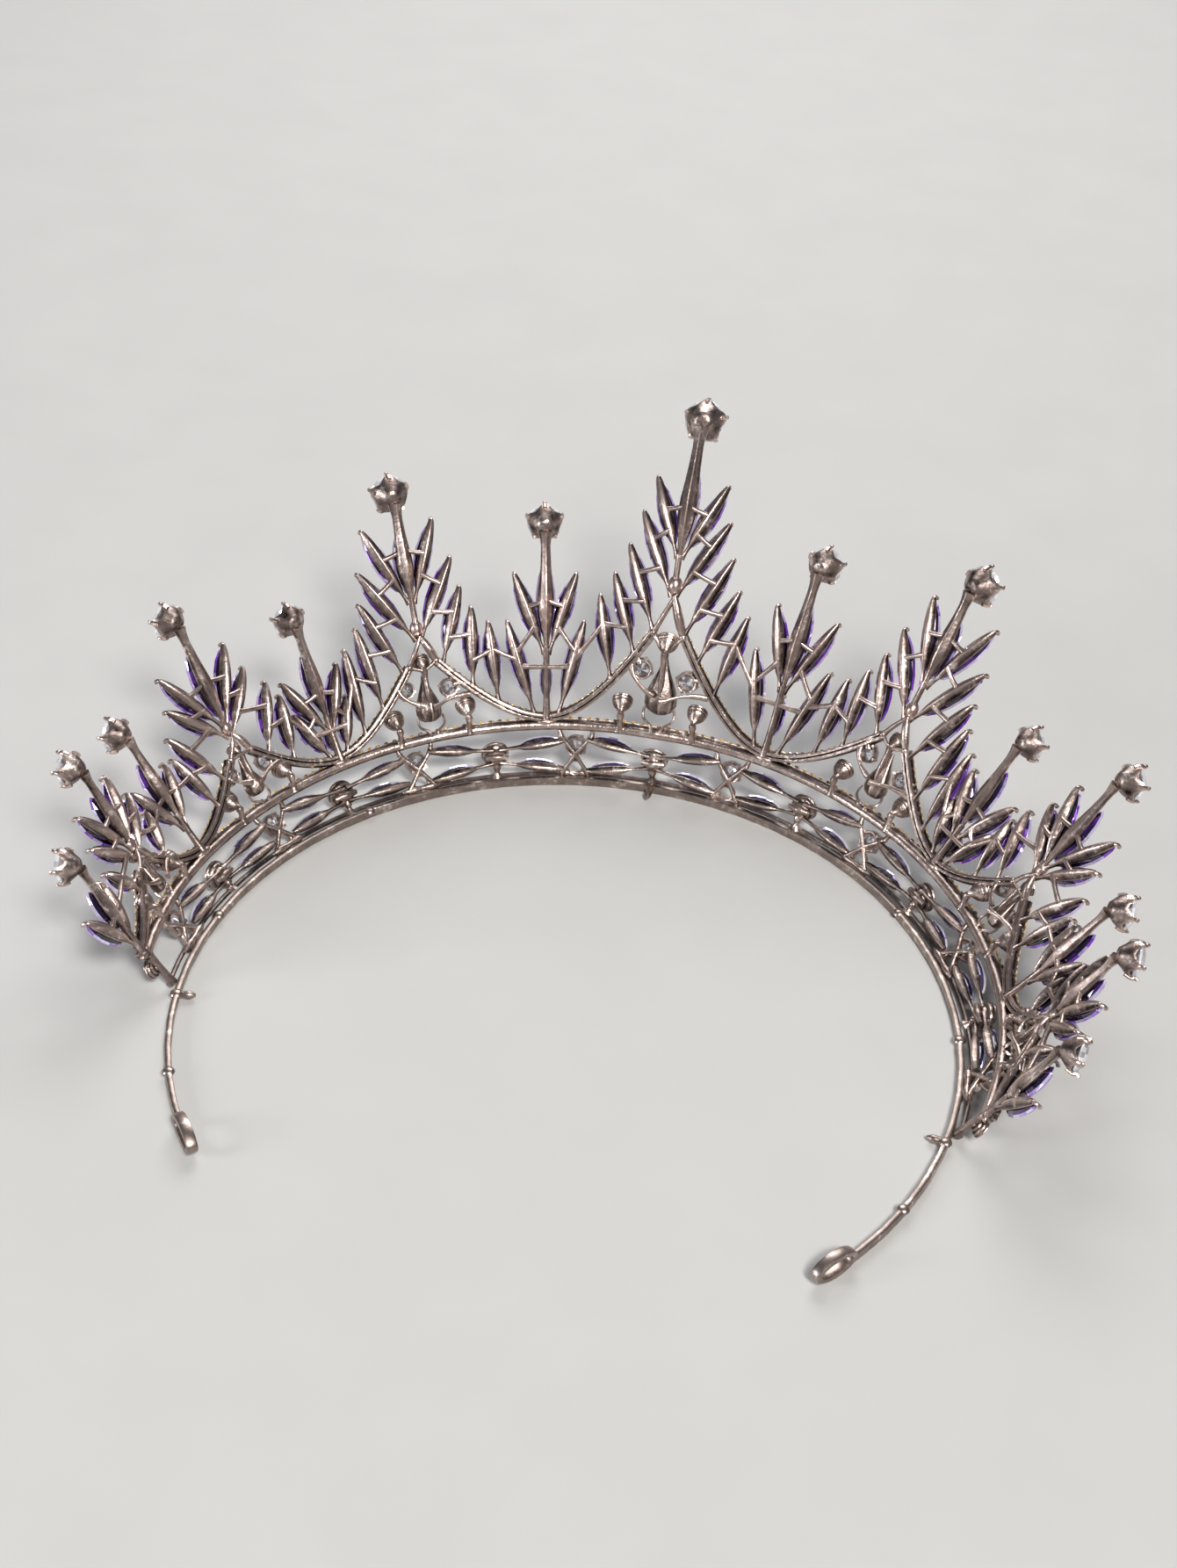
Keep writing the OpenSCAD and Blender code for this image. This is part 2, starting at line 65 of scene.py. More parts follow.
# Spires outward from the middle: length along the band, height of the round stone, radius of its cup,
# foot and top of the long stone's cup
SPIRES = [
    (0, 63.6, 3.9, 35, 56.5), (20.9, 40.5, 3.4, 14.5, 34.5), (41.7, 48.8, 3.6, 26.5, 42.5),
    (59.6, 30.2, 3.1, 9, 24.8), (75.9, 39.7, 3.2, 17, 34), (92.3, 28.1, 3.1, 8.2, 22.8),
    (104.4, 31, 3.1, 12.5, 25.6), (119.5, 23.3, 3.05, 5.6, 18)]
# Leaves on one side of each spire, from the inner one outward: tip beside and above the rail point, foot
# beside and above it, where 0 stands on the swag
LEAVES = [
    [(4.9, 50.5, 0.2, 35.2), (6.3, 43.4, 0.2, 27.7), (7.9, 36.6, 2.6, 0), (9.9, 30.6, 5.5, 0),
     (12.1, 26, 9.4, 0)],
    [(4.7, 30, 0.2, 14), (6.2, 20.5, 2.1, 0)],
    [(4.8, 42.3, 0.25, 26.5), (6.6, 34.4, 0.2, 19.2), (7.5, 28.4, 3.2, 0), (9, 24, 7.9, 0),
     (11.5, 20.7, 12.2, 0)],
    [(4.5, 18.8, 0.2, 6.5), (4.5, 12.2, 1.4, 0)],
    [(5.6, 30.7, 0.2, 17), (6.9, 25, 0.2, 14.7), (9.2, 20.6, 4.5, 0), (10.5, 17, 8.3, 0)],
    [(4, 17.5, 0.2, 6)],
    [(5, 23.8, 0.2, 11.9), (6.8, 18.4, 0.2, 9.7), (7.8, 13.4, 4.6, 0)],
    [(4.4, 13.9, 0.2, 3.2)]]
PEAKS = [26, 18.4, 13.8, 10.4]
DROP_SCALE = [1, 0.8, 0.66, 0.55]
PLACES = [(i, -1) for i in range(7, 0, -1)] + [(0, 0)] + [(i, 1) for i in range(1, 8)]
COUNT = len(PLACES)
MAJORS = [j for j in range(COUNT) if PLACES[j][0] % 2 == 0]
TURN, MILLIMETRE = 2 * math.pi, 0.001
UP = np.array((0.0, 0.0, 1.0))
BAND_STEPS, RAIL_STEPS, LOWER_STEPS, SWAG_STEPS, END_SWAG_STEPS = 200, 190, 170, 30, 24
draws = np.random.default_rng(11)


def unit(a):
    """Each vector divided by its length."""
    return a / np.linalg.norm(a, axis=-1, keepdims=True)


def xyz(x, y, z):
    """Points from three arrays of coordinates, each spread over the shape of the others."""
    return np.stack(np.broadcast_arrays(x, y, z), axis=-1)


def spot(s, v, d=0.0):
    """Point of the leaning crown. The slant is an arc whose lean runs from low to high over HIGH_V: its
    radius grows by (cos low - cos lean) / turn and its height by (sin lean - sin low) / turn, and d steps off
    it outward."""
    low = np.interp(np.abs(s), LEAN_S, LOW_LEAN)
    turn = (np.interp(np.abs(s), LEAN_S, HIGH_LEAN) - low) / HIGH_V
    turn = np.where(np.abs(turn) < 2e-4, 2e-4, turn)
    lean = low + turn * v
    r = BAND_R + (np.cos(low) - np.cos(lean)) / turn + d * np.cos(lean)
    z = (np.sin(lean) - np.sin(low)) / turn - d * np.sin(lean)
    around = s / BAND_R
    return xyz(r * np.sin(around), CENTRE_Y - r * np.cos(around), z)


def facing(s, v):
    """Outward direction of the leaning crown: the difference of two points a millimetre apart across it."""
    return spot(s, v, 1.0) - spot(s, v, 0.0)


def rail_v(s):
    """Slant height of the upper rail, which falls with the length along the band."""
    return RAIL_MID - RAIL_DROP * np.abs(s) / 100


def above(s, w, d=0.0):
    """Point w above the upper rail."""
    return spot(s, rail_v(s) + w, d)


def ring_at(s, r, z):
    """Point at radius r and height z, s along the band."""
    return xyz(r * np.sin(s / BAND_R), CENTRE_Y - r * np.cos(s / BAND_R), z)


def axes(foot, tip, out):
    """Across, along and outward directions of pieces that run from foot to tip and face out."""
    along = unit(tip - foot)
    across = unit(np.cross(along, out))
    return np.stack([across, along, np.cross(across, along)], axis=-2)


def upright(s, w, d=0.0):
    """Place and axes of round settings that stand square to the crown, w above the rail and d in front of
    it."""
    v = rail_v(s) + w
    n = facing(s, v)
    u = unit(spot(s, v + 1) - spot(s, v))
    return spot(s, v, d), np.stack([unit(np.cross(u, n)), u, n], axis=-2)


def put(origin, m, local):
    """Local points (N, ..., 3) carried to the crown: origin plus each coordinate times its axis."""
    spread = (slice(None),) + (None,) * (local.ndim - 2)
    return origin[spread] + np.einsum("n...i,nij->n...j", local, m)


def row_of(j):
    """Numbers of spire j, counted along the band."""
    return SPIRES[PLACES[j][0]]


def s_of(j):
    """Spire j's length along the band."""
    return PLACES[j][1] * row_of(j)[0]


def peak(j):
    """Height of the swags' peak under major spire j."""
    return PEAKS[PLACES[j][0] // 2]


def drop(j):
    """Scale of the pear and its fittings under major spire j."""
    return DROP_SCALE[PLACES[j][0] // 2]


def swag_v(j, t):
    """Height of a swag above the rail: it rises as the power 1.9 of t from its low point to its peak."""
    return SWAG_LOW + (peak(j) - SWAG_LOW) * t ** SWAG_POWER


def swag_beside(j, side, ds):
    """Height of the swag ds beside spire j."""
    if not 0 <= j + side < COUNT:
        return 0.6
    h = abs(s_of(j + side) - s_of(j))
    return swag_v(j, 1 - ds / h) if j in MAJORS else swag_v(j + side, ds / h)


class Pile:
    """Points and faces of one piece, gathered from grids of rings and put into one mesh."""

    def __init__(self):
        self.points, self.marks, self.faces, self.tones, self.size = [], [], [], [], 0

    def shells(self, grid, mark=0.5, tone=None, loop=False):
        """Adds N closed shells from grid (N, m, n, 3): rings of n points joined by quads, and their ends
        closed by fans on the rings' middles, or the last ring joined to the first. Rings are turned over
        where the shell's signed volume, the sum of a . (b x c) / 6 over its faces, is negative."""
        count, m, n = grid.shape[:3]
        mark = np.broadcast_to(np.asarray(mark, float), (count, m, n))
        g = grid - grid.mean(axis=(1, 2), keepdims=True)
        after = np.roll(g, -1, axis=2)
        up, up_after = (np.roll(x, -1, axis=1) for x in (g, after))
        last = m if loop else m - 1
        volume = ((g * np.cross(after, up_after)).sum(-1) + (g * np.cross(up_after, up)).sum(-1))[:, :last]
        volume = volume.sum(axis=(1, 2))
        if not loop:
            for k, sign in ((0, -1), (m - 1, 1)):
                middle = g[:, k].mean(axis=1, keepdims=True)
                volume = volume + sign * (middle * np.cross(g[:, k], after[:, k])).sum(axis=(1, 2))
        over = (volume < 0)[:, None, None]
        grid = np.where(over[..., None], grid[:, :, ::-1], grid)
        mark = np.where(over, mark[:, :, ::-1], mark)
        index = self.size + np.arange(count * m * n).reshape(count, m, n)
        beside = np.roll(index, -1, axis=2)
        above_, across_ = np.roll(index, -1, axis=1), np.roll(beside, -1, axis=1)
        quads = np.stack([index, beside, across_, above_], axis=-1)[:, :last]
        self.points.append(grid.reshape(-1, 3))
        self.marks.append(mark.reshape(-1))
        self.faces.append(quads.reshape(-1, 4))
        # Each facet and each stone gets its own level of painted light and shade
        if tone is not None:
            base = np.reshape(tone[0], (1, -1, 1)) + draws.uniform(-1, 1, (count, last, n)) * tone[1]
            self.tones.append((base + draws.uniform(-1, 1, (count, 1, 1)) * tone[2]).reshape(-1))
        self.size += count * m * n
        if loop:
            return
        for k, order in ((0, (1, 0)), (m - 1, (0, 1))):
            middle = self.size + np.arange(count)[:, None].repeat(n, axis=1)
            pair = (index[:, k], beside[:, k])
            fan = np.stack([middle, pair[order[0]], pair[order[1]]], axis=-1)
            self.points.append(grid[:, k].mean(axis=1))
            self.marks.append(mark[:, k].mean(axis=1))
            self.faces.append(fan.reshape(-1, 3))
            if tone is not None:
                base = tone[0][-1 if k else 0]
                self.tones.append(np.repeat(base + draws.uniform(-1, 1, count) * tone[1], n))
            self.size += count

    def piece(self, name, material, replaced=(), sharp=None):
        """The mesh as an object in metres that rides on the root: smooth up to the sharp angle, or flat
        facets."""
        points = np.concatenate(self.points) * MILLIMETRE
        mesh = bpy.data.meshes.new(name)
        totals = np.concatenate([np.full(len(f), f.shape[1]) for f in self.faces])
        corners = np.concatenate([f.reshape(-1) for f in self.faces])
        mesh.vertices.add(len(points))
        mesh.vertices.foreach_set("co", points.astype(np.float32).reshape(-1))
        mesh.loops.add(len(corners))
        mesh.loops.foreach_set("vertex_index", corners.astype(np.int32))
        mesh.polygons.add(len(totals))
        mesh.polygons.foreach_set("loop_start", (np.cumsum(totals) - totals).astype(np.int32))
        mesh.polygons.foreach_set("loop_total", totals.astype(np.int32))
        for key, domain, values in (("wear", "POINT", self.marks), ("tone", "FACE", self.tones)):
            if values:
                numbers = mesh.attributes.new(key, "FLOAT", domain).data
                numbers.foreach_set("value", np.concatenate(values).astype(np.float32))
        mesh.update(calc_edges=True)
        mesh.validate()
        if sharp is None:
            mesh.shade_flat()
        else:
            mesh.shade_smooth()
            mesh.set_sharp_from_angle(angle=math.radians(sharp))
        mesh.materials.append(material)
        obj = bpy.data.objects.new(name, mesh)
        bpy.context.scene.collection.objects.link(obj)
        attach(obj, "root")
        if replaced:
            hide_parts(*replaced)


def sweep(path, out, profile, scale=1.0):
    """A profile carried along paths (N, K, 3): at each point the profile's first number steps across, along
    the cross product of tangent and outward direction, and its second outward."""
    tangent = unit(np.gradient(path, axis=1))
    side = unit(np.cross(tangent, out))
    top = np.cross(side, tangent)
    scale = np.broadcast_to(np.asarray(scale, float), path.shape[:2])[..., None, None]
    return (path[:, :, None] + side[:, :, None] * profile[:, :1] * scale
            + top[:, :, None] * profile[:, 1:] * scale)


def circle(n):
    """n points of a unit circle."""
    t = TURN * np.arange(n) / n
    return np.stack([np.cos(t), np.sin(t)], axis=-1)


def struts(a, b, out, radii, n=8, bow=0.0):
    """Round bars from a to b: circles whose radius follows the list at even steps, bowed by a half sine
    outward."""
    u = np.linspace(0, 1, np.shape(radii)[-1])[None, :, None]
    path = a[:, None] * (1 - u) + b[:, None] * u + out[:, None] * np.sin(math.pi * u) * bow
    return sweep(path, out[:, None], circle(n), radii)


def turned(origin, m, profile, size, n=20, stretch=1.0):
    """Turned forms: rings of n points whose radius and height follow the profile's two columns times the
    size, the second axis stretched for an oval."""
    profile, c = np.asarray(profile, float), circle(n)
    local = xyz(profile[:, :1] * c[:, 0], profile[:, :1] * c[:, 1] * stretch, profile[:, 1:2])
    return put(origin, m, local * np.reshape(size, (-1, 1, 1, 1)))


# Ring of a boat shaped rib: share of the half width, share of the depth, and a mark of wear and painted
# light: edges and keel painted light as worn plating and painted highlights, one flank painted lighter than
# the other as a painted highlight, and the hollow painted dark as painted shade
RIB = np.array([
    (-1, 0.02, 1), (-0.99, 0.24, 0.4), (-0.78, 0.5, 0.2), (-0.4, 0.8, 0.5), (-0.07, 0.99, 0.95),
    (0.07, 0.99, 0.95), (0.4, 0.8, 0.62), (0.78, 0.5, 0.5), (0.99, 0.24, 0.3), (1, 0.02, 1), (0.8, 0.04, 0.8),
    (0, 0.5, 0.1), (-0.8, 0.04, 0.8)])
# Steps along a rib, how far it starts from its foot, and which point of its ring is the hollow side's middle
RIB_STEPS, RIB_START, RIB_HOLLOW = 16, 0.35, 11
# A rib's depth at the stem, how far its edge lies below the leaf's line, and its edge's drop in the middle
STEM_DEPTH, EDGE_AT, EDGE_DROP = 0.62, -0.15, 0.4


def ribs(foot, tip, out, half, stem, deep=1.7, thin=0.38):
    """Boat shaped backs of settings. With t from the end of the stem to the tip, the rib swells as sin(pi t)
    ** 0.6; the width runs from a thin stem, flared at its foot, to the full half width, and the depth to the
    keel."""
    m = axes(foot, tip, out)
    length = np.linalg.norm(tip - foot, axis=-1)[:, None]
    u = np.linspace(0, 1, RIB_STEPS) ** 0.9
    t = np.clip((u - stem) / (1 - stem), 0, 1)
    swell = np.sin(math.pi * np.clip(t, 0.0, 0.993)) ** 0.6
    half = np.reshape(half, (-1, 1))
    width = thin + (half - thin) * swell + 0.25 * np.exp(-(u * length / 0.7) ** 2)
    depth = STEM_DEPTH + (deep - STEM_DEPTH - EDGE_DROP) * swell
    edge = EDGE_AT - EDGE_DROP * swell
    local = xyz(width[..., None] * RIB[:, 0], (u * length)[..., None],
                edge[:, None] - depth[:, None] * RIB[:, 1])
    local[:, :, RIB_HOLLOW, 2] = edge - depth * 0.55 * swell
    return put(foot + m[:, 1] * RIB_START, m, local)


# Bent finger at a rib's tip: step along from the tip, height, radius
FINGER = np.array([
    (-1.3, -0.7, 0.36), (-0.6, -0.6, 0.4), (0.1, -0.45, 0.38), (0.5, -0.1, 0.34), (0.62, 0.4, 0.33),
    (0.5, 0.85, 0.38), (0.32, 1.1, 0.42), (0.2, 1.2, 0.22)])


def fingers(foot, tip, out, n=7):
    """Claws that close over the stones' tips: circles carried along a bent line in each leaf's own plane."""
    m = axes(foot, tip, out)
    path = put(tip, m, xyz(0, FINGER[:, 0], FINGER[:, 1])[None])
    return sweep(path, m[:, None, 0], circle(n), FINGER[:, 2])


# Rings of a marquise stone from keel to table: height, share of length, share of width
MARQUISE = np.array([
    (-0.6, 0.5, 0.03), (0, 0.84, 0.6), (0.42, 0.95, 0.83), (0.8, 1, 1), (1.12, 0.9, 0.82), (1.42, 0.7, 0.58)])
MARQUISE_POINTS = 14


def marquises(foot, tip, out, half, start, stop):
    """Marquise cut stones. Each ring runs as y = l cos a and x = w sin a |sin a| ** 0.3, pointed at both
    ends."""
    m = axes(foot, tip, out)
    length = np.linalg.norm(tip - foot, axis=-1)[:, None, None]
    low, high = length * start + 0.2, length * stop
    a = TURN * np.arange(MARQUISE_POINTS) / MARQUISE_POINTS
    x = half * MARQUISE[:, 2, None] * (np.sin(a) * np.abs(np.sin(a)) ** 0.3)
    y = (low + high) / 2 + (high - low) / 2 * (MARQUISE[:, 1, None] * np.cos(a))
    return put(foot, m, xyz(x, y, MARQUISE[:, 0, None]))


# Rings of a round brilliant from culet to table: radius and height as shares of the girdle's radius
BRILLIANT = np.array([(0.04, -0.62), (0.5, -0.36), (0.98, -0.04), (1, 0.05), (0.84, 0.22), (0.58, 0.36)])
# The tip stones' own rings, whose girdle stands out between the claws
TIP_CUT = np.array([(0.04, -0.5), (0.5, -0.3), (0.94, -0.04), (1.04, 0.07), (0.86, 0.26), (0.58, 0.4)])
# Mean painted light of a stone's five bands from keel or culet to table: the foiled back painted dark as
# shade, the girdle painted bright as a highlight, and the crown light as painted reflections
SHADED_BACK_BRIGHT_GIRDLE = [0.12, 0.2, 0.82, 0.6, 0.5]
BRIGHT = [0.45, 0.55, 0.95, 0.7, 0.65]


class Wire:
    """An output of a material's nodes. Arithmetic on it adds Math nodes."""

    def __init__(self, finish, socket):
        self.finish, self.socket = finish, socket

    def __add__(self, other):
        return self.finish.math("ADD", self, other)

    def __mul__(self, other):
        return self.finish.math("MULTIPLY", self, other)

    def __sub__(self, other):
        return self.finish.math("SUBTRACT", self, other)

    def __rsub__(self, other):
        return self.finish.math("SUBTRACT", other, self)

    __radd__ = __add__


class Finish:
    """A material whose nodes come from one method."""

    def __init__(self, name):
        self.material = bpy.data.materials.new(name)
        self.material.use_nodes = True
        self.tree = self.material.node_tree
        self.tree.nodes.clear()

    def node(self, kind, settings=None, inputs=None, output=0):
        """A node of that kind with its settings made first, then its inputs given values or links."""
        new = self.tree.nodes.new("ShaderNode" + kind)
        for key, value in (settings or {}).items():
            if key == "stops":
                ramp = new.color_ramp.elements
                while len(ramp) < len(value):
                    ramp.new(0.5)
                for element, (place, colour) in zip(ramp, value):
                    element.position, element.color = place, (*colour, 1)
            else:
                setattr(new, key, value)
        for key, value in (inputs or {}).items():
            if isinstance(value, Wire):
                self.tree.links.new(value.socket, new.inputs[key])
            else:
                new.inputs[key].default_value = value
        return Wire(self, new.outputs[output]) if new.outputs else None

    def math(self, operation, first, second):
        """Number from one Math node."""
        return self.node("Math", {"operation": operation}, {0: first, 1: second})

    def clamp(self, value):
        """The number kept between 0 and 1."""
        return self.node("Clamp", {}, {"Value": value})

    def noise(self, scale, detail=3.0, roughness=0.55):
        """Noise on the object's own coordinates, from 0 to 1."""
        place = self.node("TexCoord", {}, {}, 3)
        return self.node("TexNoise", {}, {"Vector": place, "Scale": scale, "Detail": detail,
                                          "Roughness": roughness})

    def attribute(self, name):
        """The mesh's own number of that name: wear with painted sheen and shade at points, painted facet
        light and shade on faces.
        """
        return self.node("Attribute", {"attribute_name": name}, {}, 2)

    def mix(self, factor, a, b):
        """Colour between a and b."""
        return self.node("Mix", {"data_type": "RGBA"}, {0: factor, 6: a, 7: b}, 2)

    def bump(self, height, strength, distance):
        """Normal tilted by the height's slope."""
        return self.node("Bump", {}, {"Height": height, "Strength": strength, "Distance": distance})

    def surface(self, **inputs):
        """The shader from the named inputs of a Principled BSDF, where an underscore stands for a space."""
        shader = self.node("BsdfPrincipled", {}, {k.replace("_", " "): v for k, v in inputs.items()})
        self.node("OutputMaterial", {}, {"Surface": shader})
        return self.material


def metal(name, dark, light, glint, rough, grain=0.35):
    """Cast and blackened metal: ridges and edges are painted light, partly as worn plating and partly as
    painted highlights, and hollows and flanks are painted dark as painted shade, with soft blotches, hammered
    dents and painted glints where blotch times dents is high."""
    f = Finish(name)
    wear = f.attribute("wear")
    blotch = f.noise(240.0, 4.0)
    dents = f.noise(950.0, 3.0, 0.6)
    pits = f.noise(3600.0, 2.0)
    # The mask paints ridges and edges light, as worn plating and painted highlights, and hollows and flanks
    # dark, as painted shade
    mask = f.clamp((wear + blotch) * 1.1 + dents * 0.6 - 0.97)
    colour = f.mix(mask, (*dark, 1), (*light, 1))
    # Painted glints: bright spots of the glint colour put into the base colour
    spark = f.clamp((blotch * dents - 0.3) * 9.0)
    colour = f.mix(spark * 0.75, colour, (*glint, 1))
    normal = f.bump(pits * 0.25 + dents, grain, 0.0003)
    return f.surface(Base_Color=colour, Metallic=1.0, Normal=normal, Coat_Weight=0.12, Coat_Roughness=0.22,
                     Roughness=f.clamp(rough + 0.14 - mask * 0.12 + pits * 0.14))


def cut_stone(name, stops, metallic, rough=0.07):
    """Cut glass on foil: each facet has its own painted light on a ramp, dark for painted shade and pale for
    painted reflections, with faint clouds under a clear coat.
    """
    f = Finish(name)
    cloud = f.noise(900.0, 3.0)
    # Painted facet light: low values are painted shade, high values painted reflections
    tone = f.clamp(f.attribute("tone") * 0.92 + cloud * 0.25 - 0.1)
    colour = f.node("ValToRGB", {"stops": stops}, {"Fac": tone})
    scratch = f.noise(5200.0, 2.0)
    return f.surface(Base_Color=colour, Metallic=metallic, Roughness=f.clamp(rough + scratch * 0.06),
                     Coat_Weight=1.0, Coat_Roughness=0.04, Specular_IOR_Level=0.8)


# Dark colours are painted shade in hollows and on flanks, light colours worn plating and painted highlights
# on ridges, glint colours painted glints
TAUPE = metal("blackened_taupe_metal", (0.016, 0.010, 0.009), (0.66, 0.515, 0.46), (0.92, 0.82, 0.76), 0.22)
SANDY = metal("sandy_cast_metal", (0.015, 0.009, 0.008), (0.58, 0.455, 0.405), (0.92, 0.82, 0.74), 0.22, 0.5)
SMOOTH = metal("rubbed_band_metal", (0.075, 0.055, 0.05), (0.44, 0.355, 0.315), (0.76, 0.67, 0.62), 0.24,
               0.12)
# Stone ramps run from painted shade near black through the stone's own colour to painted reflections near
# white; the golden one paints gold glints
VIOLET = cut_stone("violet_stone", [(0.0, (0.004, 0.003, 0.008)), (0.3, (0.02, 0.008, 0.06)),
                                    (0.56, (0.23, 0.05, 0.58)), (0.78, (0.70, 0.62, 0.88))], 0.4)
LILAC = cut_stone("lilac_stone", [(0.0, (0.01, 0.008, 0.02)), (0.35, (0.07, 0.05, 0.15)),
                                  (0.58, (0.32, 0.26, 0.50)), (0.76, (0.84, 0.82, 0.9))], 0.4)
CLEAR = cut_stone("clear_stone", [(0.0, (0.02, 0.02, 0.022)), (0.4, (0.25, 0.24, 0.25)),
                                  (0.7, (0.66, 0.66, 0.70)), (1.0, (0.95, 0.95, 0.97))], 0.3)
GOLDEN = cut_stone("golden_glint_stone", [(0.0, (0.04, 0.03, 0.025)), (0.4, (0.16, 0.12, 0.09)),
                                          (0.6, (0.84, 0.50, 0.12)), (0.9, (0.98, 0.88, 0.66))], 0.3)

# Leaves and their places as arrays
leaf_rows = [(j, side, k, row) for j in range(COUNT) for side in (-1, 1)
             for k, row in enumerate(LEAVES[PLACES[j][0]])]


def leaf_ends(rows):
    """Feet, tips and outward directions of side leaves. A foot whose height is 0 stands on the swag."""
    spires, sides, _, places = zip(*rows)
    tip_ds, tip_w, ds, w = np.array(places, float).T
    centre, side = np.array([s_of(j) for j in spires], float), np.array(sides)
    s, tip_s = centre + side * ds, centre + side * tip_ds
    w = np.where(w > 0, w, [swag_beside(*place) for place in zip(spires, sides, ds)])
    return above(s, w), above(tip_s, tip_w, FLARE), facing((s + tip_s) / 2, rail_v(centre) + (w + tip_w) / 2)


leaf_foot, leaf_tip, leaf_out = leaf_ends(leaf_rows)
# The leaf over the foot of the inner minor spires: foot, tip and middle above the rail where the spire's
# stone starts SMALL_FULL above it, and how far the foot and the tip stand out
SMALL_FOOT, SMALL_TIP, SMALL_MIDDLE, SMALL_FULL, SMALL_OUT = 3.2, 13, 8, 14.5, (0.9, 1.3)
small = [j for j in range(COUNT) if PLACES[j][0] in (1, 3)]
small_s = np.array([s_of(j) for j in small], float)
small_q = np.array([row_of(j)[3] for j in small]) / SMALL_FULL
small_foot, small_tip = (above(small_s, w * small_q, d) for w, d in zip((SMALL_FOOT, SMALL_TIP), SMALL_OUT))
small_out = facing(small_s, rail_v(small_s) + SMALL_MIDDLE * small_q)

# Leaves of the frieze, from each dome cup to the crosses on its sides. In shares of the rail's height: feet
# of the upper and lower ones, and tips of the upper ones. Height of the lower ones' tips, and share that the
# stone covers
FRIEZE_HIGH, FRIEZE_LOW, FRIEZE_TIP, FRIEZE_TIP_Z, FRIEZE_SHARE = 0.62, 0.4, 0.8, 2.9, 0.86
cells = [(2 * k * FRIEZE_STEP, side, high)
         for k in range(-3, 4) for side in (-1, 1) for high in (True, False)]
cell_s, cell_side, cell_high = (np.array(x) for x in zip(*cells))
foot_share = np.where(cell_high, FRIEZE_HIGH, FRIEZE_LOW)
frieze_foot = spot(cell_s + cell_side * 0.3, rail_v(cell_s) * foot_share, np.where(cell_high, 0, 0.6))
lower_tip = FRIEZE_TIP_Z / np.cos(np.interp(np.abs(cell_s), LEAN_S, LOW_LEAN))
frieze_tip = spot(cell_s + cell_side * (FRIEZE_STEP - 0.6),
                  np.where(cell_high, rail_v(cell_s) * FRIEZE_TIP, lower_tip))
frieze_out = facing(cell_s + cell_side * 8, 6.0)
frieze_end = frieze_foot * (1 - FRIEZE_SHARE) + frieze_tip * FRIEZE_SHARE

all_j = range(COUNT)
spire_s = np.array([s_of(j) for j in all_j], float)
spire_rows = np.array([row_of(j) for j in all_j], float)
spire_foot = above(spire_s, spire_rows[:, 3])
spire_top = above(spire_s, spire_rows[:, 4], 0.4)
spire_out = facing(spire_s, rail_v(spire_s) + spire_rows[:, 3] + 8)
tip_at = above(spire_s, spire_rows[:, 1], 1.6)
tip_v = rail_v(spire_s) + spire_rows[:, 1]
tip_n, tip_u = facing(spire_s, tip_v), unit(spot(spire_s, tip_v + 1) - spot(spire_s, tip_v - 1))
tip_z = unit(tip_n + tip_u * 0.35)
tip_x = unit(np.cross(tip_u, tip_z))
tip_m = np.stack([tip_x, np.cross(tip_z, tip_x), tip_z], axis=-2)
cup_r = spire_rows[:, 2]

# Fittings of a major spire at full size: how far beside it the posts and the two discs stand, and how far
# above the rail the discs, the cap and the pear lie
POST_BESIDE, DISC_BESIDE, DISC_UP, CAP_UP, PEAR_UP = 7, (-4.4, 4.0), (11.6, 12.9), 19.2, 7.2
major_s = np.array([s_of(j) for j in MAJORS], float)
major_q = np.array([drop(j) for j in MAJORS])
major_peak = np.array([peak(j) for j in MAJORS], float)
post_s = np.concatenate([major_s + side * POST_BESIDE * major_q ** 0.4 for side in (-1, 1)])
post_q = np.tile(major_q, 2)
disc_q = post_q ** 0.6
disc_s = np.tile(major_s, 2) + np.repeat(DISC_BESIDE, len(MAJORS)) * disc_q
disc_w = np.repeat(DISC_UP, len(MAJORS)) * post_q
end_s = np.array([-1, 1]) * (RAIL_S - 0.6)

# Cup of a round setting from its back to the rim and down inside: radius, height, and a mark of wear and
# painted light, with painted sheen on ridges and the rim and painted shade in grooves and inside
CUP = np.array([
    (0.12, -1, 0.6), (0.34, -1, 0.8), (0.42, -0.93, 0.9), (0.44, -0.8, 0.2), (0.66, -0.74, 0.7),
    (0.72, -0.62, 0.9), (0.74, -0.5, 0.2), (0.92, -0.42, 0.75), (0.97, -0.3, 0.85), (0.97, -0.12, 0.25),
    (1.04, -0.06, 0.8), (1.05, 0.05, 1), (0.98, 0.1, 1), (0.88, 0.08, 0.7), (0.84, -0.05, 0.2),
    (0.6, -0.36, 0.05), (0.1, -0.6, 0)])
# Tulip shaped cup from its neck to its rim and down inside, in the same terms
TULIP = np.array([
    (0.1, -1.75, 0.6), (0.26, -1.72, 0.6), (0.28, -1.45, 0.7), (0.4, -1.25, 0.6), (0.62, -1, 0.5),
    (0.84, -0.72, 0.6), (0.94, -0.5, 0.95), (0.88, -0.42, 0.05), (0.98, -0.34, 0.8), (1.03, -0.16, 0.95),
    (0.95, -0.08, 0.05), (1.04, 0, 0.95), (1.05, 0.1, 1), (0.96, 0.14, 0.8), (0.86, 0.05, 0.3),
    (0.8, -0.2, 0.1), (0.5, -0.5, 0), (0.1, -0.7, 0)])
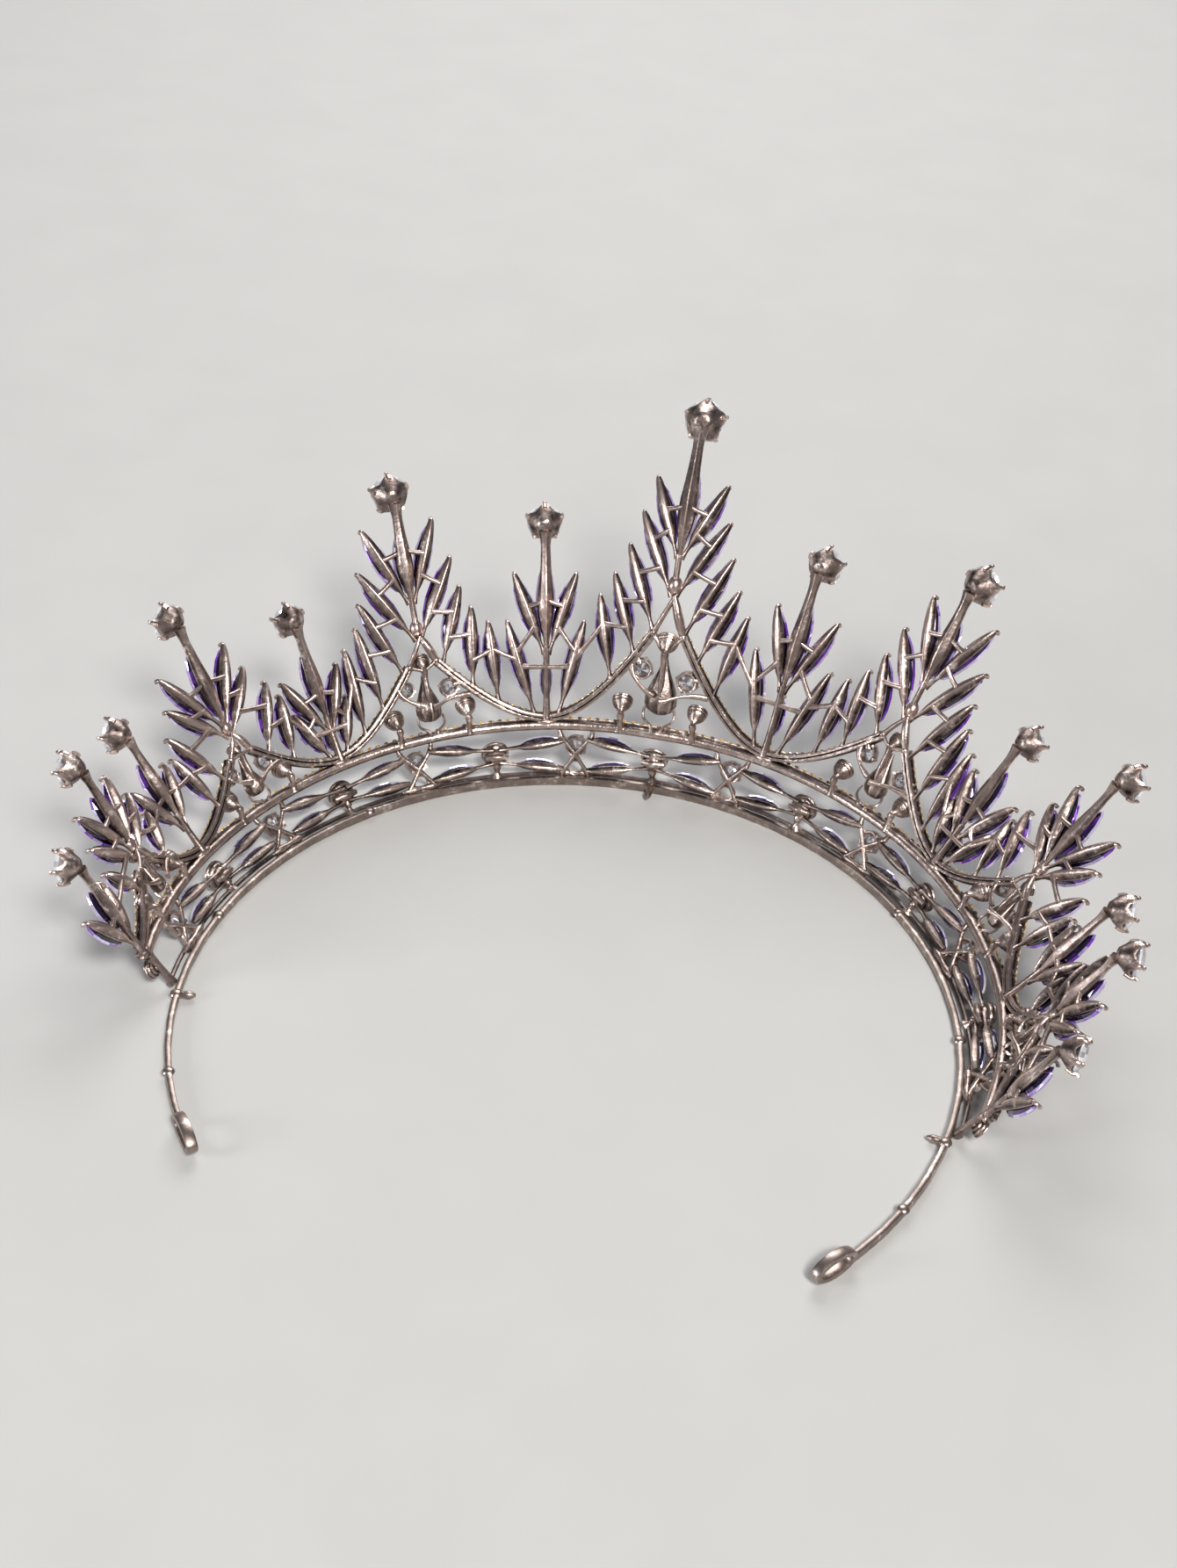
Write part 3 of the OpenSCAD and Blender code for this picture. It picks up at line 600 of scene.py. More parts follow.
# Hammered boss at a spire's foot; claw of a ring: radius, height and thickness; and an open ring
BOSS = [(0.1, -1.15), (0.5, -1.05), (0.85, -0.72), (1.0, -0.25), (0.95, 0.1), (0.7, 0.15), (0.1, -0.3)]
QUARTERS = np.arange(4) * math.pi / 2
RING_CLAW = [(1.05, -0.5, 0.3), (1.12, 0.2, 0.32), (0.95, 0.55, 0.3), (0.85, 0.58, 0.15)]
OPEN_RING = [(0.84, -0.45), (1.0, -0.5), (1.1, -0.2), (1.1, 0.3), (0.98, 0.42), (0.86, 0.3), (0.8, 0.0)]


def nodding(s, w, d, nod):
    """Place and axes of cups that stand square to the crown and then nod up: outward plus nod times
    upward."""
    at, m = upright(s, w, d)
    z = unit(m[:, 2] + m[:, 1] * nod)
    return at, np.stack([m[:, 0], np.cross(z, m[:, 0]), z], axis=-2)


# Place and axes of the round settings
dome_s = 2 * FRIEZE_STEP * np.arange(-3, 4)
cross_s = FRIEZE_STEP * (2 * np.arange(-4, 4) + 1)
cap_w = CAP_UP * major_q
dome_cups = nodding(dome_s, rail_v(dome_s) * -0.48 + DOME_RISE * np.abs(dome_s) / 100, 2.0, 0.5)
post_cups = nodding(post_s, 3.2 + 2.6 * post_q, 1.1, 0.75)
cap_cups = nodding(major_s, cap_w, 1.2, 0.8)
end_cups = upright(end_s, 6 - rail_v(end_s), 2.0)
cross_rings = upright(cross_s, rail_v(cross_s) * -0.36, 0.9)
discs = upright(disc_s, disc_w, 0.7)
bosses = upright(major_s, major_peak + 4.3 * major_q, 0.2)


# Steps round a loop, the solder tabs' length and radii, and the solder blobs' places, size and profile
LOOP_STEPS, TAB_LEN, BLOB_R = 40, 3.5, 1.15
TAB_RADII = [0.85, 0.72, 0.66, 0.72, 0.78, 0.6, 0.25]
BLOB_S = np.array([-139.0, -121.5, -96.0, -61.0, 58.0, 99.5, 121.5, 141.0])
BLOB = [(0.1, -0.5), (0.8, -0.45), (1, -0.1), (0.85, 0.2), (0.5, 0.38), (0.1, 0.45)]


def band_piece(pile):
    """Head band with its end loops, solder tabs and lower rail."""
    corner = np.array([(-1, -0.55), (-0.8, -0.9), (-0.45, -1), (0.45, -1), (0.8, -0.9), (1, -0.55), (1, 0.55),
                       (0.8, 0.9), (0.45, 1), (-0.45, 1), (-0.8, 0.9), (-1, 0.55)])
    span = LOOP_S - LOOP_LEN / 2 + 0.9
    s = np.linspace(-span, span, BAND_STEPS)
    ripple = 0.03 * np.sin(s * 0.9) + 0.02 * np.sin(s * 2.3)
    path = ring_at(s, BAND_R + BAND_SHIFT + ripple, BAND_H / 2)[None]
    # Rounded edges get a higher mark, painted lighter for wear and as painted sheen
    edge_wear_and_sheen = 0.55 + 0.25 * np.abs(corner[:, 0]) * np.abs(corner[:, 1])
    pile.shells(sweep(path, UP, corner * (BAND_HALF, BAND_H / 2)), edge_wear_and_sheen)
    side = np.array([-1.0, 1.0])
    centre = ring_at(side * LOOP_S, BAND_R, LOOP_H / 2)
    along = unit(ring_at(side * LOOP_S + 1, BAND_R, 0) - ring_at(side * LOOP_S - 1, BAND_R, 0))
    wide, tall = LOOP_LEN / 2 - LOOP_HALF, LOOP_H / 2 - LOOP_HALF
    turn = circle(LOOP_STEPS)
    loop = centre[:, None] + along[:, None] * turn[:, :1] * wide + UP * turn[:, 1:] * tall
    away = unit(loop - centre[:, None])
    radial = np.cross(along, UP)[:, None]
    flat = corner * (LOOP_HALF, 1.0)
    grid = loop[:, :, None] + away[:, :, None] * flat[:, :1] + radial[:, :, None] * flat[:, 1:]
    pile.shells(grid, 0.6 + 0.3 * np.abs(corner[:, 0]), loop=True)
    s = np.array([-RAIL_S - 2, 0, RAIL_S + 2])
    pile.shells(struts(ring_at(s, BAND_R, BAND_H / 2), ring_at(s, BAND_R - TAB_LEN, BAND_H / 2), UP[None],
                       TAB_RADII, 10), 0.85)
    s = np.linspace(-RAIL_S, RAIL_S, LOWER_STEPS)
    path = ring_at(s, LOWER_R + LOWER_SHIFT, BAND_H / 2 + 0.3)[None]
    pile.shells(sweep(path, UP, circle(8) * LOWER_HALF), 0.55)
    foot = ring_at(BLOB_S, BAND_R, 0)
    m = np.stack([unit(ring_at(BLOB_S + 1, BAND_R, 0) - foot), unit(ring_at(BLOB_S, BAND_R + 1, 0) - foot),
                  np.broadcast_to(UP, foot.shape)], axis=-2)
    pile.shells(turned(ring_at(BLOB_S, BAND_R - 0.1, 1.55), m, BLOB, BLOB_R, 14), 1.0)


# A swag's section with ridges and a groove toward the head, open to the front: up, outward, and a mark of
# wear and painted light, with painted sheen on the ridges and painted shade in the groove
CHANNEL = np.array([
    (-1, 1.2, 1), (-1.02, 0.55, 0.3), (-0.86, 0.3, 0), (-0.94, -0.3, 0.6), (-0.76, -0.82, 1),
    (-0.36, -0.9, 0.6), (-0.2, -0.86, 0.9), (-0.1, -0.55, 0), (0.06, -0.55, 0), (0.14, -0.9, 0.95),
    (0.4, -0.95, 0.7), (0.76, -0.82, 1), (0.92, -0.2, 0.55), (0.84, 0.3, 0), (1.02, 0.55, 0.3), (1, 1.2, 1),
    (0.7, 1.2, 0.9), (0.62, 0.4, 0.1), (-0.62, 0.4, 0.1), (-0.7, 1.2, 0.9)])
# The rail's section: a half round rod toward the head, and a thin ledge that carries its front stones; up,
# outward, and a mark of wear and painted light, with painted sheen on the rod's back and ledge and painted
# shade at its sides
ROD = np.array([
    (-0.5, 1.5, 0.8), (-0.62, 0.7, 0), (-0.86, 0.45, 0), (-0.98, 0, 0.1), (-0.86, -0.5, 0.4),
    (-0.5, -0.85, 0.8), (0, -0.98, 0.9), (0.5, -0.85, 0.8), (0.86, -0.5, 0.45), (0.98, 0, 0.1),
    (0.84, 0.5, 0), (0.62, 0.85, 0), (1.02, 1.1, 0.7), (1.12, 1.35, 1), (1.08, 1.75, 1), (0.82, 1.8, 0.9),
    (0.6, 1.5, 0.2)])


def channels(pile, s, w, section, half):
    """A section carried along the line (s, w) of the crown with its open side to the front. The line runs
    from the left to the right, and the section's first number points up."""
    out = facing(s, rail_v(s) + w)[None]
    pile.shells(sweep(above(s, w)[None], out, section[:, :2] * (-half, half)), section[:, 2])


def joint_s(j):
    """How far beside the peak under spire j its swags end."""
    return JOINT_S * drop(j) ** 0.6


def swag_line(j, side, count):
    """The swag from its joint beside spire j down to its low point: w rises as the power 1.9 of t."""
    a, b = s_of(j), s_of(j + side)
    t = (1 - joint_s(j) / abs(b - a)) * (1 - np.linspace(0, 1, count) ** 1.3)
    return b + (a - b) * t, swag_v(j, t)


def swag_lines():
    """Every bow of the swags as length along the band, which grows, and height above the rail."""
    lines = []
    for j in MAJORS[:-1]:
        one, two = swag_line(j, 1, SWAG_STEPS), swag_line(j + 2, -1, SWAG_STEPS)
        lines.append([np.concatenate([x, y[-2::-1]]) for x, y in zip(one, two)])
    first = [x[::-1] for x in swag_line(MAJORS[0], -1, END_SWAG_STEPS)]
    return lines + [first, swag_line(MAJORS[-1], 1, END_SWAG_STEPS)]


def rails_piece(pile):
    """The upper rail and the posts that carry its ends."""
    s = np.linspace(-RAIL_S - 0.5, RAIL_S + 0.5, RAIL_STEPS)
    channels(pile, s, np.zeros(RAIL_STEPS), ROD, 0.98)
    pile.shells(struts(ring_at(end_s, BAND_R + 1.2, 1.0), above(end_s, 0.2), facing(end_s, 4.0),
                       [1.0, 0.75, 0.7, 0.7, 0.75, 0.95], 10), 0.6)


def swags_piece(pile):
    """The swags, with a long boss where each one meets the rail."""
    for s, w in swag_lines():
        channels(pile, s, w, CHANNEL, 0.9)
    low = np.array([s_of(j) for j in all_j if j not in MAJORS], float)
    at, m = upright(low, 0.75, -0.2)
    pile.shells(turned(at, m[:, [1, 0, 2]], BOSS, 0.75, 14, 2.6), 0.85)


# Small cut stone from its back to its table: radius and height
CHIP = [(0.3, -0.5), (0.9, -0.1), (1, 0.05), (0.82, 0.34), (0.5, 0.46)]


def paved(lines, pitch, radius, rise, lift, nod=0.75):
    """Small cut stones at even steps along lines of the crown, rise beside the line on its upper side, lift
    out, and facing out plus nod times up."""
    at, out, up = [], [], []
    for s, w in lines:
        run = np.concatenate([[0], np.cumsum(np.linalg.norm(np.diff(above(s, w), axis=0), axis=1))])
        steps = np.arange(pitch * 0.7, run[-1] - pitch * 0.4, pitch)
        ss, ww = np.interp(steps, run, s), np.interp(steps, run, w)
        n = facing(ss, rail_v(ss) + ww)
        tangent = unit(np.gradient(above(ss, ww), axis=0))
        beside = unit(np.cross(n, tangent))
        at.append(above(ss, ww) + beside * rise + n * lift)
        out.append(unit(n + beside * nod))
        up.append(beside)
    at, out, up = (np.concatenate(x) for x in (at, out, up))
    m = np.stack([unit(np.cross(up, out)), unit(np.cross(out, np.cross(up, out))), out], axis=-2)
    return turned(at, m, CHIP, radius, 7)


def leaf_piece(pile):
    """Ribs and tip claws of every marquise setting above the rail, and of the long stones in the spires."""
    mark = RIB[:, 2]
    pile.shells(ribs(leaf_foot, leaf_tip, leaf_out, LEAF_RIB, LEAF_STEM), mark)
    pile.shells(fingers(leaf_foot, leaf_tip, leaf_out), 0.9)
    pile.shells(ribs(small_foot, small_tip, small_out, SMALL_RIB, LEAF_STEM, 1.4), mark)
    pile.shells(fingers(small_foot, small_tip, small_out), 0.9)


# How far up its rib a link bar starts on a spire's first leaf and on the others, how far up the spire and the
# rib before it the bar ends, and the height of the bar across a minor spire; then the bars' radii
LINK_FIRST, LINK_NEXT, LINK_SPIRE, LINK_BEFORE, LINK_ACROSS = 0.62, 0.7, 0.7, 0.37, 0.55
LINK_RADII = [0.7, 0.55, 0.5, 0.48, 0.5, 0.55, 0.7]


def links_piece(pile):
    """Short bars, flared at both ends, between the ribs of neighbouring leaves and to the spires."""
    index = {(j, side, k): i for i, (j, side, k, row) in enumerate(leaf_rows)}

    def on(i, f):
        """Point on the back of leaf i, the share f of the way up."""
        return leaf_foot[i] * (1 - f) + leaf_tip[i] * f - leaf_out[i] * 1.0

    pairs = []
    for (j, side, k), i in index.items():
        if k:
            pairs.append((on(i, LINK_NEXT), on(index[j, side, k - 1], LINK_BEFORE)))
        else:
            _, top, _, foot = leaf_rows[i][3]
            pairs.append((on(i, LINK_FIRST), above(s_of(j), foot + (top - foot) * LINK_SPIRE, -0.8)))
        if j in MAJORS and k == len(LEAVES[PLACES[j][0]]) - 1:
            last = len(LEAVES[PLACES[j + side][0]]) - 1
            pairs.append((on(i, LINK_NEXT), on(index[j + side, -side, last], LINK_FIRST)))
    pairs += [(on(index[j, -1, 1], LINK_ACROSS), on(index[j, 1, 1], LINK_ACROSS)) for j in small]
    a, b = np.array(pairs).swapaxes(0, 1)
    out = unit((a + b) / 2 - (0, CENTRE_Y, 30.0))
    pile.shells(struts(a, b, out, LINK_RADII, 8, -0.15), 0.75)


# Bottle shaped back of a spire: share of the way to the round cup, half width
BOTTLE = np.array([
    (0, 0.5), (0.1, 0.62), (0.2, 0.95), (0.34, 1.6), (0.45, 1.74), (0.56, 1.55), (0.72, 1.2), (0.86, 1.06),
    (0.93, 1.15), (1, 1.6)])
BOTTLE_STEPS = 22
# A spire's ring: across, outward, and a mark of wear and painted light, with a painted highlight on the keel
# line toward the head and painted shade on the flanks
SPIRE_RING = np.array([
    (1, 0.05, 0.9), (0.94, -0.3, 0.25), (0.62, -0.62, 0.5), (0.14, -0.84, 0.6), (0.07, -0.96, 1),
    (-0.07, -0.96, 1), (-0.14, -0.84, 0.6), (-0.62, -0.62, 0.6), (-0.94, -0.3, 0.35), (-1, 0.05, 0.9),
    (-0.6, 0.45, 0.2), (0.6, 0.45, 0.2)])
CLAWS, TIP_STEPS = 5, 40
# Cup at a spire's tip: radius, height, and a mark of wear and painted light, with painted sheen on the rim
# and painted shade inside; and its claw: radius, height and thickness
TIP_CUP = np.array([
    (0.22, -1.02, 0.5), (0.4, -0.98, 0.5), (0.52, -0.84, 0.5), (0.66, -0.66, 0.45), (0.82, -0.46, 0.45),
    (0.95, -0.26, 0.5), (1.02, -0.08, 0.7), (1.05, 0.02, 1), (1, 0.05, 0.9), (0.93, -0.02, 0.4),
    (0.86, -0.16, 0.1), (0.6, -0.44, 0), (0.1, -0.62, 0)])
TIP_CLAW = [
    (0.94, -0.36, 0.42), (1.04, -0.1, 0.46), (1.07, 0.08, 0.44), (1.04, 0.2, 0.38), (1.04, 0.27, 0.34),
    (1.1, 0.31, 0.4), (1.14, 0.32, 0.42), (1.18, 0.32, 0.22)]


def curve(knots, count):
    """Points at even steps along cubics from the first to the last of four knots (N, 4, 3), drawn toward the
    two between them."""
    u = np.linspace(0, 1, count)[:, None]
    a, b, c, d = (knots[:, k, None] for k in range(4))
    return a * (1 - u) ** 3 + 3 * b * u * (1 - u) ** 2 + 3 * c * u ** 2 * (1 - u) + d * u ** 3


def claw_paths(origin, m, size, turns, line):
    """Claws: lines in the plane of a cup's axis, given as radius, height and thickness, turned about it."""
    line = np.asarray(line, float)
    local = xyz(np.outer(np.cos(turns), line[:, 0]), np.outer(np.sin(turns), line[:, 0]), line[:, 1])
    path = put(origin, m, local * np.reshape(size, (-1, 1, 1, 1))).reshape(-1, len(line), 3)
    across = np.einsum("ti,nij->ntj", xyz(-np.sin(turns), np.cos(turns), 0), m).reshape(-1, 1, 3)
    return sweep(path, across, circle(7), line[:, 2])


def spires_piece(pile):
    """Spires: bottle shaped backs, cups with five lobes and claws, stems and bosses. A cup's rim swells and
    rises with the cosine of five times the angle round it."""
    size = cup_r[:, None]
    knots = np.stack([spire_foot - spire_out * 0.35, spire_foot * 0.62 + spire_top * 0.38 - spire_out * 0.75,
                      spire_foot * 0.2 + spire_top * 0.8 - spire_out * 0.85,
                      tip_at - tip_m[:, 1] * size * 0.3 - tip_m[:, 2] * size * 0.95], axis=1)
    path = curve(knots, BOTTLE_STEPS)
    half = np.interp(np.linspace(0, 1, BOTTLE_STEPS), BOTTLE[:, 0], BOTTLE[:, 1])
    half = half * (0.82 + 0.18 * (size - 3) / 0.9)
    pile.shells(sweep(path, spire_out[:, None], SPIRE_RING[:, :2], half), SPIRE_RING[:, 2])
    a = TURN * np.arange(TIP_STEPS) / TIP_STEPS
    lobe = np.cos(CLAWS * (a - math.pi / 2))
    rise = np.clip((TIP_CUP[:, 1:2] + 0.7) / 0.7, 0, 1)
    radius = TIP_CUP[:, :1] * (1 + 0.1 * rise * (lobe - 0.4))
    local = xyz(radius * np.cos(a), radius * np.sin(a), TIP_CUP[:, 1:2] + rise * (0.15 * lobe - 0.13))
    pile.shells(put(tip_at, tip_m, local * size[:, :, None, None]), TIP_CUP[:, 2:] + 0.15 * lobe)
    turns = math.pi / 2 + TURN * np.arange(CLAWS) / CLAWS
    pile.shells(claw_paths(tip_at, tip_m, cup_r, turns, TIP_CLAW), 0.9)
    low = np.array([peak(j) + 3 * drop(j) if j in MAJORS else SWAG_LOW - 0.4 for j in all_j])
    low[[0, -1]] = 0
    pile.shells(struts(above(spire_s, low, -0.3), above(spire_s, spire_rows[:, 3] + 1.4, -0.5), spire_out,
                       [0.95, 0.7, 0.62, 0.6, 0.62, 0.7], 9), 0.55)
    pile.shells(turned(*bosses, BOSS, 1.45 * major_q ** 0.5, 14, 1.4), 0.95)


# Radii of the turned post under a dome cup, and the arms of a cross: place beside it, height as a share of
# the rail's and in millimetres, and the step up or down at its end
DOME_POST = [0.85, 0.6, 0.5, 0.8, 0.85, 0.55, 0.6, 0.95, 1.25]
CROSS_ARMS = [(2.9, 0.82, 0, 1.2), (2.5, 0, 2.5, -1.2)]


def frieze_piece(pile):
    """Marquise ribs, dome cups with their posts, and X shaped crosses with a ring cup and an open ring."""
    pile.shells(ribs(frieze_foot, frieze_end, frieze_out, FRIEZE_RIB, FRIEZE_STEM, 1.5), RIB[:, 2])
    s = dome_s
    pile.shells(turned(*dome_cups, CUP, DOME_CUP_R, 24), CUP[:, 2:])
    ends = (spot(s + side * 2.2, rail_v(s) * 0.5, -0.1) for side in (-1, 1))
    pile.shells(struts(*ends, facing(s, 5.0), [0.55, 0.62, 0.8, 0.95, 0.8, 0.62, 0.55], 9, -0.3), 0.7)
    top, low = spot(s, rail_v(s) * 0.48, 0.2), ring_at(s, LOWER_R, 1.0)
    pile.shells(struts(top, low, facing(s, 5.0), DOME_POST, 9), 0.75)
    s = cross_s
    middle, out = spot(s, rail_v(s) * 0.52, -0.3), facing(s, 5.0)
    for one in (-1, 1):
        for arm_s, share, low, step in CROSS_ARMS:
            end = spot(s + one * arm_s, rail_v(s) * share + low, -0.2)
            pile.shells(struts(middle, end, out, [0.6, 0.42, 0.4, 0.42, 0.62], 8, -0.15), 0.75)
            pile.shells(struts(end, spot(s + one * (arm_s + 0.3), rail_v(s) * share + low + step), out,
                               [0.66, 0.5, 0.45], 8), 0.6)
    pile.shells(turned(*cross_rings, OPEN_RING, CROSS_R, 22), 0.8, loop=True)
    pile.shells(claw_paths(*cross_rings, CROSS_R, QUARTERS + 0.6, RING_CLAW), 0.9)
    pile.shells(turned(*upright(s, rail_v(s) * -0.72, 0.6), OPEN_RING, LOW_RING_R, 22), 0.8, loop=True)
    pile.shells(struts(ring_at(s - 4.2, LOWER_R - 0.5, 2.0), ring_at(s + 4.2, LOWER_R - 0.5, 2.0), out,
                       [0.2, 0.55, 0.8, 0.6, 0.5, 0.62, 0.85, 0.5, 0.2], 8), 0.85)


# Points of the pear's outline at full size, across and up, from its tip round
PEAR = np.array([
    (0, 8.2), (1.1, 5.2), (2.7, 1.8), (2.8, -1.2), (1.4, -3.1), (-1.4, -3.1), (-2.8, -1.2), (-2.7, 1.8),
    (-1.1, 5.2)])


def pear_line(n):
    """The pear's outline as a closed smooth curve through its nine points, weighted as a cubic at each
    step."""
    t = np.arange(n) * len(PEAR) / n
    i, f = t.astype(int), (t % 1)[:, None]
    p0, p1, p2, p3 = (PEAR[(i + k) % len(PEAR)] for k in (-1, 0, 1, 2))
    return p1 + 0.5 * f * (p2 - p0 + f * (2 * p0 - 5 * p1 + 4 * p2 - p3 + f * (3 * (p1 - p2) + p3 - p0)))


pear_at, pear_m = upright(major_s, PEAR_UP * major_q, 2.7 * major_q - 0.7)


def pears(rings, n):
    """Pear forms: the outline drawn in toward the fat part's middle by each ring's share, at its height."""
    rings, middle = np.asarray(rings, float), np.array((0, -0.6))
    flat = middle + (pear_line(n) - middle) * rings[:, :1, None]
    local = xyz(flat[..., 0], flat[..., 1], rings[:, 1:2])
    return put(pear_at, pear_m, local * major_q[:, None, None, None])


# Half width of a pear's cup at heights up its back, and its ring: across, outward, and a mark of wear and
# painted light, with painted sheen on the panel edges and painted shade between them
PEAR_SIDE = np.array([
    (-3.4, 0.3), (-3.2, 1.5), (-2.5, 2.6), (-1.3, 3.2), (0.2, 3.2), (1.8, 2.8), (3.4, 2.15), (5.2, 1.35),
    (6.8, 0.8), (8.4, 0.45)])
PANELS = np.array([
    (-1, 0.06, 1), (-1, -0.16, 0.6), (-0.84, -0.56, 0.2), (-0.7, -0.74, 1), (-0.62, -0.76, 0.5),
    (-0.16, -1, 0.6), (-0.04, -1, 1), (0.04, -0.97, 0.3), (0.5, -0.84, 0.5), (0.6, -0.78, 1),
    (0.7, -0.66, 0.3), (1, -0.16, 0.4), (1, 0.06, 1), (0.86, 0.06, 0.9), (0.7, -0.3, 0.1), (-0.7, -0.3, 0.1),
    (-0.86, 0.06, 0.9)])


# Straps beside a pear as cubics: from the disc to the pear's shoulder, from the other disc to the swag across
# the pear, and each disc's own short neck up to the swag, as length beside the pear, height and depth
STRAPS = [((5.9, 13.6, -0.3), (5.6, 11.2, -0.9), (4.0, 9.6, -1.2), (1.2, 8.2, -1.2)),
          ((-0.2, 7.7, -2.6), (-1.6, 7.6, -2.4), (-3.6, 10.0, -1.2), (-8.7, 9.3, -0.3)),
          ((4.4, 14.0, -0.2), (4.6, 14.8, -0.3), (4.9, 15.4, -0.3), (5.2, 15.9, -0.3)),
          ((-5.6, 12.2, -0.2), (-6.4, 12.5, -0.3), (-7.2, 12.3, -0.3), (-8.0, 12.0, -0.3))]


# A claw under a pear as a cubic, in the same terms, and the radii of a round cup's post
PEAR_CLAW = [(2.75, 5.4, 0.9), (3.6, 1.2, 0.3), (1.0, 3.6, -0.6), (0.8, 0.2, -0.4)]
POST_RADII = [1.35, 0.9, 0.62, 0.52, 0.62, 0.8, 0.6]


def drops_piece(pile):
    """Pear cups with panelled backs, hangers and claws, and the round cups, discs and straps beside them."""
    local = xyz(PEAR_SIDE[:, 1:] * PANELS[:, 0], PEAR_SIDE[:, :1], PEAR_SIDE[:, 1:] * PANELS[:, 1] * 0.95)
    pile.shells(put(pear_at, pear_m, local * major_q[:, None, None, None]), PANELS[:, 2])
    out = facing(major_s, rail_v(major_s) + 10)
    slim = major_q ** 0.5
    neck = above(major_s, cap_w - 2.4 * major_q, -0.6)
    hang = put(pear_at, pear_m, major_q[:, None] * (0, 1.5, -2.45))
    pile.shells(struts(hang, neck, out, np.outer(slim, [0.35, 0.6, 0.66, 0.6, 0.62, 0.85]), 10), 0.75)
    pile.shells(turned(*cap_cups, TULIP, CAP_R * major_q, 22), TULIP[:, 2:])
    joint = np.array([joint_s(j) for j in MAJORS])
    for one in (-1, 1):
        w = np.array([swag_beside(j, one, x) for j, x in zip(MAJORS, joint)])
        end = above(major_s + one * joint, w, -0.2)
        pile.shells(struts(neck, end, out, np.outer(slim, [0.5, 0.42, 0.4, 0.45, 0.6]), 8, -0.3), 0.7)
        top_w, thick = (major_peak + 1.9, 0.55) if one > 0 else (major_peak + 2.4 * major_q, 0.95)
        pile.shells(struts(end, above(major_s - 0.25, top_w, -0.7), out,
                           np.outer(slim, [0.7, thick, thick, thick * 0.9, 0.5]), 9, -0.5), 0.8)
        pile.shells(turned(end, upright(major_s + one * joint, w)[1], BOSS, 0.85 * slim, 12), 0.8)
        claw = [above(major_s + one * x * major_q, y * major_q, d) for x, y, d in PEAR_CLAW]
        claw = curve(np.stack(claw, axis=1), 12)
        pile.shells(sweep(claw, out[:, None], circle(7), 0.26 + 0.14 * np.linspace(0, 1, 12) ** 4), 0.9)
    pile.shells(turned(*post_cups, TULIP, POST_CUP_R, 24), TULIP[:, 2:])
    foot = put(*post_cups, np.array([[0, 0, -1.6 * POST_CUP_R]]))
    pile.shells(struts(above(post_s, 0.2), foot, facing(post_s, 14.0), POST_RADII, 10, -0.2), 0.75)
    pile.shells(turned(*end_cups, CUP, SIDE_R, 22), CUP[:, 2:])
    pile.shells(turned(*discs, OPEN_RING, DISC_R * disc_q, 22), 0.8, loop=True)
    pile.shells(claw_paths(*discs, DISC_R * disc_q, QUARTERS + 0.3, RING_CLAW), 0.9)
    for line in STRAPS:
        strap = [above(major_s + x * major_q ** 0.8, y * major_q, d) for x, y, d in line]
        strap = curve(np.stack(strap, axis=1), 10)
        pile.shells(sweep(strap, out[:, None], circle(8) * (1.4, 0.9),
                          0.34 + 0.12 * np.cos(np.linspace(0, TURN, 10))), 0.85)


def stones(name, grids, material, replaced, tone):
    """A piece of flat faceted stones. The painted facet light holds the mean of each band and how far facets
    and stones stray."""
    pile = Pile()
    for grid in grids:
        pile.shells(grid, 0.5, tone)
    pile.piece(name, material, replaced)


for name, make, material, sharp in (
        ("band_metal", band_piece, SMOOTH, 40), ("rail_metal", rails_piece, SANDY, 40),
        ("swag_metal", swags_piece, SANDY, 40), ("leaf_settings", leaf_piece, TAUPE, 50),
        ("leaf_links", links_piece, TAUPE, 60), ("spire_settings", spires_piece, TAUPE, 50),
        ("frieze_metal", frieze_piece, SANDY, 45), ("drop_settings", drops_piece, SANDY, 45)):
    pile = Pile()
    make(pile)
    pile.piece(name, material, ("frame",), sharp)


def numbered(name, count):
    """Names of the frame's stones, numbered from one."""
    return ["%s_%d" % (name, k + 1) for k in range(count)]


# Pear stone's rings: share of the outline and height
PEAR_CUT = [(0.08, -1.45), (0.55, -1.0), (0.97, -0.12), (0.99, 0.06), (0.84, 0.55), (0.6, 0.9)]
round_sets = zip((dome_cups, post_cups, cap_cups, end_cups, cross_rings, discs),
                 (DOME_CUP_R, POST_CUP_R, CAP_R * major_q, SIDE_R, CROSS_R, DISC_R * disc_q))
rail_line = [np.linspace(-RAIL_S, RAIL_S, RAIL_STEPS), np.zeros(RAIL_STEPS)]
stones("leaf_marquises", [marquises(leaf_foot, leaf_tip, leaf_out, LEAF_GIRDLE, LEAF_STEM, 0.98),
                          marquises(small_foot, small_tip, small_out, SMALL_GIRDLE, LEAF_STEM, 0.98)],
       VIOLET, ("leaf_stones",), (SHADED_BACK_BRIGHT_GIRDLE, 0.2, 0.22))
stones("spire_marquises", [marquises(spire_foot, spire_top, spire_out, SPIRE_GIRDLE, SPIRE_STEM, 0.9)],
       VIOLET, numbered("spire_stone", COUNT), (SHADED_BACK_BRIGHT_GIRDLE, 0.2, 0.1))
stones("frieze_marquises", [marquises(frieze_foot, frieze_end, frieze_out, FRIEZE_GIRDLE, FRIEZE_STEM, 0.97)],
       LILAC, ("frieze_stones",), (SHADED_BACK_BRIGHT_GIRDLE, 0.2, 0.1))
stones("tip_brilliants", [turned(tip_at, tip_m, TIP_CUT, cup_r, 20)], CLEAR, numbered("tip_stone", COUNT),
       (BRIGHT, 0.3, 0.05))
stones("pear_drops", [pears(PEAR_CUT, 18)], VIOLET, numbered("pear_stone", len(MAJORS)), (SHADED_BACK_BRIGHT_GIRDLE, 0.25, 0.05))
